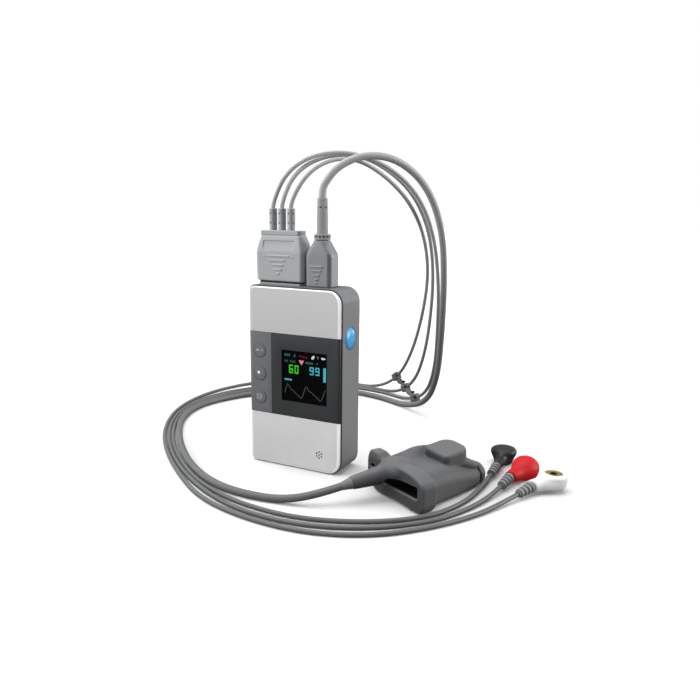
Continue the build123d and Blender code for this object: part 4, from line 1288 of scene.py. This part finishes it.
# ------------------------------------------------------------------ snap connectors
ROUTES = {"black": black_route, "red": red_route, "white": white_route}
HEADS = {"black": (102.9, 54.4), "red": (119.3, 38.3), "white": (136.6, 25.8)}
HEAD_FORM = {
    "black": [(0, 9.9), (3.0, 9.8), (5.2, 9.4), (6.7, 8.7), (7.35, 7.8), (7.4, 6.8), (7.0, 5.4), (6.3, 3.9), (5.6, 2.2), (5.1, 0.6), (4.8, 0.0), (0, 0.0)],
    "red": [(0, 11.3), (2.6, 11.1), (4.8, 10.2), (6.4, 8.6), (7.2, 6.6), (7.2, 4.6), (6.6, 2.4), (5.6, 0.6), (5.0, 0.0), (0, 0.0)],
    "white": [(0, 9.8), (6.0, 9.8), (6.8, 9.4), (7.2, 8.6), (7.2, 5.4), (6.8, 3.6), (5.8, 2.3), (4.0, 1.8), (0, 1.8)],
}
NECK = {"black": (2.6, 3.4, 4.0, 3.0), "red": (3.1, 5.2, 5.0, 4.0), "white": (3.4, 4.3, 5.6, 3.6)}
SNAP_MAT = {"black": "snap_black", "red": "snap_red", "white": "snap_white"}
for cname, route in ROUTES.items():
    a, b = Vector(route[-2]), Vector(route[-1])
    way = (b - a).normalized()
    tail = b + way * 12.0
    hx, hy = HEADS[cname]
    r0, r1, hz, blend_k = NECK[cname]

    def snap_fn(p, cname=cname, way=way, tail=tail, hx=hx, hy=hy, r0=r0, r1=r1, hz=hz, blend_k=blend_k):
        d = sd_turned(p, (hx, hy), HEAD_FORM[cname])
        neck = sd_cone(p, tuple(tail - way * 1.0), (hx, hy, hz), r0, r1)
        d = smin(d, neck, blend_k)
        d = smax(d, -((p[0] - tail.x) * way.x + (p[1] - tail.y) * way.y + (p[2] - tail.z) * way.z), 0.3)
        d = smax(d, 0.05 - p[2], 0.3)
        r = np.sqrt((p[0] - hx) ** 2 + (p[1] - hy) ** 2)
        if cname == "white":
            d = smax(d, -np.maximum(r - 4.9, 8.2 - p[2]), 0.15)
            d = smax(d, -np.maximum(r - 2.35, 4.2 - p[2]), 0.15)
        else:
            d = smax(d, -np.maximum(r - 4.4, p[2] - 1.6), 0.15)
            d = smax(d, -np.maximum(r - 2.35, p[2] - 5.6), 0.15)
        return d

    lo_ = (min(tail.x - 4, hx - 8.2), min(tail.y - 4, hy - 8.2), -0.6)
    hi_ = (max(tail.x + 4, hx + 8.2), max(tail.y + 4, hy + 8.2), 12.4)
    head = sculpt("snap_%s_skin" % cname, snap_fn, lo_, hi_, 0.32, M[SNAP_MAT[cname]])
    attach(head, "transmitter")
    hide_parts("snap_shell_" + cname)

    prof = [(0.0, 1.25), (0.0, 1.9)]
    for k in range(4):
        s0 = 0.9 + 2.75 * k
        base = 1.8 + 0.7 * s0 / 12.0
        prof += [(s0, base - 0.45), (s0 + 0.1, base + 0.4), (s0 + 0.4, base + 0.55), (s0 + 1.5, base + 0.55), (s0 + 1.8, base + 0.4), (s0 + 1.9, base - 0.45)]
    prof += [(11.7, 2.3), (12.0, 2.4), (12.0, 0.3)]
    boot_ = turned("snap_boot_%s_skin" % cname, tuple(b), tuple(way), prof, M["snap_relief"], 32)
    crease(boot_, 45)
    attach(boot_, "transmitter")
    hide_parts("snap_boot_" + cname)

# ------------------------------------------------------------------ lead separator
CLIPS = [((-11.5, 162.9, 15.1), (-0.7, 0.4, -0.6)), ((-1.7, 158.4, 8.2), (-0.7, 0.4, -0.5)), ((12.2, 143.2, 5.6), (-0.8, 0.5, -0.4))]


def clip_frame(way):
    e1 = Vector(way).normalized()
    e3 = (Vector((0, 0, 1)) - e1 * e1.z).normalized()
    e2 = e3.cross(e1)
    return e1, e2, e3


def sd_turned_box(p, c, axes, half, r):
    q = tuple(sum((p[i] - c[i]) * a[i] for i in range(3)) for a in axes)
    return sd_box(q, (0.0, 0.0, 0.0), half, r)


def between(a, b, t, dz=0.0, dx=0.0):
    return tuple(a[i] + (b[i] - a[i]) * t + (dx, 0.0, dz)[i] for i in range(3))


def separator_fn(p):
    d = None
    for c, way in CLIPS:
        axes = clip_frame(way)
        box_ = sd_turned_box(p, c, axes, (3.2, 2.7, 2.9), 1.0)
        cut = sd_turned_box(p, tuple(Vector(c) + axes[2] * 3.0 - axes[0] * 0.8), axes, (0.5, 4.0, 0.8), 0.2)
        box_ = smax(box_, -cut, 0.2)
        d = box_ if d is None else np.minimum(d, box_)
    for (a, _), (b, _) in zip(CLIPS[:-1], CLIPS[1:]):
        d = smin(d, sd_cone(p, between(a, b, 0.12), between(a, b, 0.88), 1.5, 1.5), 0.5)
        d = smin(d, sd_cone(p, between(a, b, 0.34, -0.4), between(a, b, 0.46, -0.4), 2.2, 2.0), 0.4)
        d = smin(d, sd_cone(p, between(a, b, 0.70), between(a, b, 0.72, 2.0, 0.5), 0.6, 0.6), 0.3)
    return d


# dark blobs at the clip holes are painted shade standing in for the holes; the small tabs are black parts
def separator_dark_fn(p):
    d = None
    for c, way in CLIPS:
        hole_shade_blob = sd_blob(p, tuple(Vector(c) + Vector((0.32, -0.86, 0.40)) * 3.3), (1.2, 1.1, 1.0))
        d = hole_shade_blob if d is None else np.minimum(d, hole_shade_blob)
    for (a, _), (b, _) in zip(CLIPS[:-1], CLIPS[1:]):
        tab = sd_box(p, between(a, b, 0.72, 2.3, 0.6), (1.2, 0.9, 0.75), 0.35)
        d = np.minimum(d, tab)
    return d


clips = sculpt("lead_separator_skin", separator_fn, (-17.0, 137.5, 0.2), (18.0, 168.5, 21.0), 0.4, M["clip"])
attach(clips, "transmitter")
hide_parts("lead_separator")
# dark material: painted shade at the holes, and the black tabs
clip_hole_shade_and_tabs = sculpt("lead_separator_hole_shade_and_tabs", separator_dark_fn, (-17.0, 137.5, 0.2), (18.0, 168.5, 21.0), 0.3, M["clip_dark"])
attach(clip_hole_shade_and_tabs, "transmitter")

# ------------------------------------------------------------------ finger sensor
SENSOR_X, SENSOR_Y, SENSOR_TURN = 68.05, -27.45, math.radians(-28.67)
# one table of stations along the boot: left side, right side, top, bottom, top corner, bottom corner
BOOT_U = [-2.0, 4.0, 9.0, 14.0, 20.0, 27.0, 34.0, 41.0, 47.0, 53.0, 58.0, 62.0]
BOOT_L = [-18.5, -18.3, -17.6, -16.8, -16.2, -15.4, -14.6, -13.8, -13.0, -12.3, -11.6, -11.0]
BOOT_R = [20.0, 19.6, 18.2, 16.8, 15.6, 14.6, 13.4, 11.8, 10.4, 8.8, 7.2, 6.0]
BOOT_T = [17.6, 17.8, 17.8, 17.8, 17.6, 17.0, 15.4, 12.4, 10.2, 9.2, 8.8, 8.6]
BOOT_B = [0.2, 0.0, 0.0, 0.0, 0.0, 0.0, 0.0, 0.0, 0.0, 0.2, 0.6, 1.2]
BOOT_RT = [6.0, 6.6, 7.4, 8.2, 9.0, 9.5, 9.0, 8.0, 6.8, 5.8, 5.0, 4.6]


def boot_shape(p):
    w, u, z = p
    uu = np.clip(u, BOOT_U[0], BOOT_U[-1])
    look = {}
    for key, vals in (("l", BOOT_L), ("r", BOOT_R), ("t", BOOT_T), ("b", BOOT_B), ("rt", BOOT_RT)):
        g, v = smooth_table(BOOT_U, vals)
        look[key] = np.interp(uu, g, v)
    side = np.clip((-w - 4.0) / 9.0, 0, 1)
    along = np.clip((u - 5.0) / 20.0, 0, 1) * np.clip((50.0 - u) / 7.0, 0, 1)
    look["t"] = look["t"] + (3.2 + 2.0 * np.clip((u - 18.0) / 16.0, 0, 1)) * side * side * (3 - 2 * side) * along * along * (3 - 2 * along)
    cx, cz = (look["l"] + look["r"]) / 2, (look["t"] + look["b"]) / 2
    hx, hz = (look["r"] - look["l"]) / 2, (look["t"] - look["b"]) / 2
    corner = np.where(z > cz, np.where(w > cx, np.minimum(look["rt"], hz - 0.1), 4.0), 3.0)
    d2 = sd_rect(w, z, cx, cz, hx, hz, corner)
    body = sd_join(d2, np.abs(u - 30.6) - 28.8, 3.2)
    # flange around the mouth
    f2 = sd_rect(w, z, 0.2, 9.8, 22.3, 9.8, 4.0)
    f2 = smax(f2, (w - 18.9) * 0.663 - z * 0.748, 2.0)
    f2 = smax(f2, (w - 15.0) * 0.40 + (z - 19.0) * 0.917, 2.5)
    f2 = smax(f2, -(w + 14.5) * 0.60 - z * 0.80, 2.5)
    arch = 1.3 * np.exp(-((w - 3.0) / 9.0) ** 2)
    f2 = smax(f2, arch - z, 1.5)
    back = 6.9 + 2.6 * np.clip((w + 20) / 42, 0, 1)
    flange = sd_join(f2, np.abs(u - back / 2) - back / 2, 1.3)
    ear2 = sd_rect(w, z, -16.9, 15.2, 4.9, 6.7, 2.8)
    ear = sd_join(ear2, np.abs(u - 3.3) - 3.3, 1.3)
    d = smin(body, flange, 3.2)
    d = smin(d, ear, 2.2)
    # tapered relief of the cable and the hood that it grows into
    relief = sd_cone(p, (-10.1, -18.9, 11.0), (-4.2, 4.8, 14.4), 3.35, 5.5)
    hood = sd_blob(p, (-4.4, 7.0, 14.4), (7.4, 8.0, 5.6))
    d = smin(d, hood, 3.0)
    d = smin(d, sd_blob(p, (-2.0, 1.8, 15.6), (7.4, 5.6, 4.4)), 2.2)
    tail = -((w + 10.1) * 0.247 + (u + 18.9) * 0.943 + (z - 11.0) * 0.221)
    relief = smax(relief, tail, 0.7)
    d = smin(d, relief, 3.4)
    # raised pad on top, leaning with the crown
    a = math.radians(3.0)
    ww, zz = (w - 1.6) * math.cos(a) - (z - 17.8) * math.sin(a), (w - 1.6) * math.sin(a) + (z - 17.8) * math.cos(a)
    b = math.radians(-6.0)
    uu2, zz2 = (u - 30.6) * math.cos(b) - zz * math.sin(b), (u - 30.6) * math.sin(b) + zz * math.cos(b)
    pad2 = sd_rect(ww, uu2, -1.3, 4.6, 9.2, 8.8, np.where(uu2 > 4.0, 6.5, 3.0))
    pad = sd_join(pad2, np.abs(zz2) - 4.6, 1.6)
    d = smin(d, pad, 1.1)
    # ridge from the pad down to the closed end, then the rounded end with its step rings
    ridge = sd_cone(p, (6.2, 40.0, 15.6), (4.6, 50.5, 10.4), 2.9, 2.7)
    d = smin(d, ridge, 0.7)
    lobe = sd_cone(p, (-6.5, 55.4, 5.6), (2.2, 54.4, 6.4), 4.6, 4.7)
    d = smin(d, lobe, 1.0)
    ring = np.abs(u - 51.6 - 0.10 * (w + 3)) - 1.0
    d = smax(d, -np.maximum(np.maximum(-(d + 1.2), d - 10), ring), 0.8)
    # the floor cuts it flat underneath
    d = smax(d, -z, 0.8)
    return d


POCKET_U = [-2.0, 0.0, 4.0, 9.0, 16.0, 22.0, 32.0, 42.0, 51.0]
POCKET_L = [-17.6, -17.3, -15.6, -13.6, -11.4, -10.0, -9.0, -8.6, -8.0]
POCKET_R = [18.6, 18.2, 16.0, 13.0, 10.2, 8.6, 7.4, 6.2, 3.8]
POCKET_T = [13.9, 13.8, 13.8, 14.0, 13.8, 13.4, 11.6, 9.0, 6.8]
POCKET_B = [7.9, 7.7, 6.8, 5.6, 4.8, 4.4, 4.2, 4.4, 4.8]


def pocket_shape(p):
    w, u, z = p
    uu = np.clip(u, POCKET_U[0], POCKET_U[-1])
    look = {}
    for key, vals in (("l", POCKET_L), ("r", POCKET_R), ("t", POCKET_T), ("b", POCKET_B)):
        g, v = smooth_table(POCKET_U, vals)
        look[key] = np.interp(uu, g, v)
    # at the mouth the upper lip runs down to the left
    lean = np.clip(1 - u / 9.0, 0, 1) * (w - 18.0) * 0.04
    zt = look["t"] + lean
    cx, cz = (look["l"] + look["r"]) / 2, (zt + look["b"]) / 2
    hx, hz = (look["r"] - look["l"]) / 2, np.maximum((zt - look["b"]) / 2, 1.4)
    corner = np.minimum(np.where(uu < 9, 1.2 + uu * 0.3, 3.9), hz - 0.05)
    d2 = sd_rect(w, z, cx, cz, hx, hz, corner)
    return sd_join(d2, np.abs(u - 23.0) - 27.0, 1.5)


def sensor_fn(p):
    d = boot_shape(p)
    d = smax(d, -pocket_shape(p), 0.9)
    slit = sd_box(p, (-17.2, 0.0, 14.2), (1.8, 2.6, 1.1), 0.5)
    d = smax(d, -slit, 0.3)
    return d


def sensor_place(v):
    c, s = math.cos(SENSOR_TURN), math.sin(SENSOR_TURN)
    out = np.empty_like(v)
    out[:, 0] = SENSOR_X + v[:, 0] * c - v[:, 1] * s
    out[:, 1] = SENSOR_Y + v[:, 0] * s + v[:, 1] * c
    out[:, 2] = v[:, 2]
    return out


boot = sculpt("finger_sensor_shell", sensor_fn, (-24.5, -25.0, -1.0), (25.5, 64.5, 27.0), 0.5, M["silicone"], sensor_place)
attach(boot, "transmitter")
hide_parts("finger_sensor_boot", "sensor_strain_relief")
# the inside of the boot gets its own darker material: painted shade where little light reaches
boot.data.materials.append(M["mouth"])
mid_ = np.array([[c / MM for c in f.center] for f in boot.data.polygons])
c_, s_ = math.cos(SENSOR_TURN), math.sin(SENSOR_TURN)
lx, ly = mid_[:, 0] - SENSOR_X, mid_[:, 1] - SENSOR_Y
inside_shade_mask = boot_shape(np.array([lx * c_ + ly * s_, -lx * s_ + ly * c_, mid_[:, 2]])) < -1.3
for f, inside in zip(boot.data.polygons, inside_shade_mask):
    if inside:
        f.material_index = 1

a_, b_ = Vector(spo2_route[-2]), Vector(spo2_route[-1])
way_ = (a_ - b_).normalized()
sleeve = turned("sensor_sleeve", tuple(b_), tuple(way_), [(-1.0, 1.9), (-1.0, 2.9), (0.4, 3.0), (0.9, 2.9), (2.2, 2.55), (3.6, 2.3), (4.7, 2.15), (5.0, 2.03), (5.0, 1.9)],
                M["sleeve"], 32)
crease(sleeve, 45)
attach(sleeve, "transmitter")

# ------------------------------------------------------------------ floor and light
def floor():
    n = 48
    verts, faces = [(0, 0, 0)], []
    for k in range(n):
        a = 2 * math.pi * k / n
        verts.append((6.0 * math.cos(a), 6.0 * math.sin(a), 0))
        faces.append((0, 1 + k, 1 + (k + 1) % n))
    ob = mesh_object("floor", verts, faces, None, smooth=False)
    m = Mat("floor_pale")
    m.set(Roughness=0.95, Specular_IOR_Level=0.0)
    c = m.ramp(m.noise(6.0, 2.0), "Fac", [(0.3, (FLOOR_TONE,) * 3), (0.7, (FLOOR_TONE * 1.01,) * 3)])
    m.l(c, "Color", m.b, "Base Color")
    ob.data.materials.clear()
    ob.data.materials.append(m.m)
    ob.visible_diffuse = False
    ob.visible_glossy = False
    ob.visible_shadow = False
    return ob


def backdrop():
    """a white dome round the set that only the camera sees"""
    ob = mesh_object("backdrop", [], [], None, smooth=False)
    bm = bmesh.new()
    bmesh.ops.create_uvsphere(bm, u_segments=48, v_segments=24, radius=6.0)
    bm.to_mesh(ob.data)
    bm.free()
    m = Mat("backdrop_white")
    m.t.nodes.clear()
    out = m.n("ShaderNodeOutputMaterial")
    em = m.n("ShaderNodeEmission")
    em.inputs["Strength"].default_value = 1.0
    co = m.n("ShaderNodeTexCoord")
    n = m.n("ShaderNodeTexNoise")
    m.l(co, "Object", n, "Vector")
    r = m.ramp(n, "Fac", [(0.3, (1.0, 1.0, 1.0)), (0.7, (1.02, 1.02, 1.02))])
    m.l(r, "Color", em, "Color")
    m.l(em, "Emission", out, "Surface")
    ob.data.materials.clear()
    ob.data.materials.append(m.m)
    for flag in ("visible_diffuse", "visible_glossy", "visible_transmission", "visible_shadow", "visible_volume_scatter"):
        setattr(ob, flag, False)
    return ob


FLOOR_TONE = 0.80
floor()
backdrop()
world = bpy.data.worlds.new("studio")
SCENE.world = world
world.use_nodes = True
wt = world.node_tree
bg = wt.nodes["Background"]
wco = wt.nodes.new("ShaderNodeTexCoord")
sep = wt.nodes.new("ShaderNodeSeparateXYZ")
wt.links.new(wco.outputs["Generated"], sep.inputs[0])
grad = wt.nodes.new("ShaderNodeValToRGB")
e = grad.color_ramp.elements
e[0].position, e[0].color = 0.44, (0.10, 0.10, 0.10, 1)
e[1].position, e[1].color = 0.54, (0.46, 0.46, 0.465, 1)
half = wt.nodes.new("ShaderNodeMapRange")
half.inputs["From Min"].default_value = -1.0
half.inputs["From Max"].default_value = 1.0
wt.links.new(sep.outputs["Z"], half.inputs["Value"])
wt.links.new(half.outputs["Result"], grad.inputs["Fac"])
# a dark card in one fixed direction, so edges that face it draw darker than the faces beside them
dot = wt.nodes.new("ShaderNodeVectorMath")
dot.operation = "DOT_PRODUCT"
dot.inputs[1].default_value = (0.62, -0.77, 0.12)
wt.links.new(wco.outputs["Generated"], dot.inputs[0])
card = wt.nodes.new("ShaderNodeMapRange")
card.inputs["From Min"].default_value = 0.55
card.inputs["From Max"].default_value = 0.90
card.inputs["To Min"].default_value = 1.0
card.inputs["To Max"].default_value = 0.25
wt.links.new(dot.outputs["Value"], card.inputs["Value"])
scale = wt.nodes.new("ShaderNodeVectorMath")
scale.operation = "SCALE"
wt.links.new(grad.outputs["Color"], scale.inputs[0])
wt.links.new(card.outputs["Result"], scale.inputs["Scale"])
wt.links.new(scale.outputs["Vector"], bg.inputs["Color"])
bg.inputs["Strength"].default_value = 1.0


def sun(name, source, strength, spread, colour=(1, 1, 1)):
    """soft parallel light that comes from the direction source"""
    d = bpy.data.lights.new(name, "SUN")
    d.energy = strength
    d.angle = math.radians(spread)
    d.color = colour
    o = bpy.data.objects.new(name, d)
    o.rotation_mode = "QUATERNION"
    o.rotation_quaternion = (-Vector(source)).to_track_quat("-Z", "Y")
    o.location = Vector(source).normalized() * 2.0
    SCENE.collection.objects.link(o)
    return o


def area(name, loc, target, size, power, colour=(1, 1, 1)):
    d = bpy.data.lights.new(name, "AREA")
    d.shape = "RECTANGLE"
    d.size, d.size_y = size
    d.energy = power
    d.color = colour
    o = bpy.data.objects.new(name, d)
    o.location = loc
    o.rotation_mode = "QUATERNION"
    o.rotation_quaternion = (Vector(target) - Vector(loc)).to_track_quat("-Z", "Y")
    SCENE.collection.objects.link(o)
    return o


sun("overhead", (-0.12, 0.0, 1.0), 1.9, 60.0)
sun("front_left", (-0.75, -0.70, 0.36), 2.2, 40.0).visible_glossy = False
sun("left", (-1.0, 0.15, 0.35), 1.4, 40.0).visible_glossy = False
sun("right_back", (0.90, 0.36, 0.25), 2.1, 40.0)
sun("low_front", (0.0, -1.0, -0.45), 0.5, 50.0).visible_glossy = False
spark = area("spark", (0.285, 0.966, 0.085), (0.03, 0.0, 0.076), (0.09, 0.09), 0.6)
spark.visible_camera = False
upper_left = area("upper_left", (-0.13, 0.02, 0.28), (0.0, 0.04, 0.16), (0.10, 0.10), 0.10)
upper_left.visible_camera = False
upper_left.visible_glossy = False
SCENE.view_settings.view_transform = "Standard"
SCENE.view_settings.look = "None"

# ------------------------------------------------------------------ cords baked into place
for cname, (t, pts, length, dia, body, route) in CORDS.items():
    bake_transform(t)
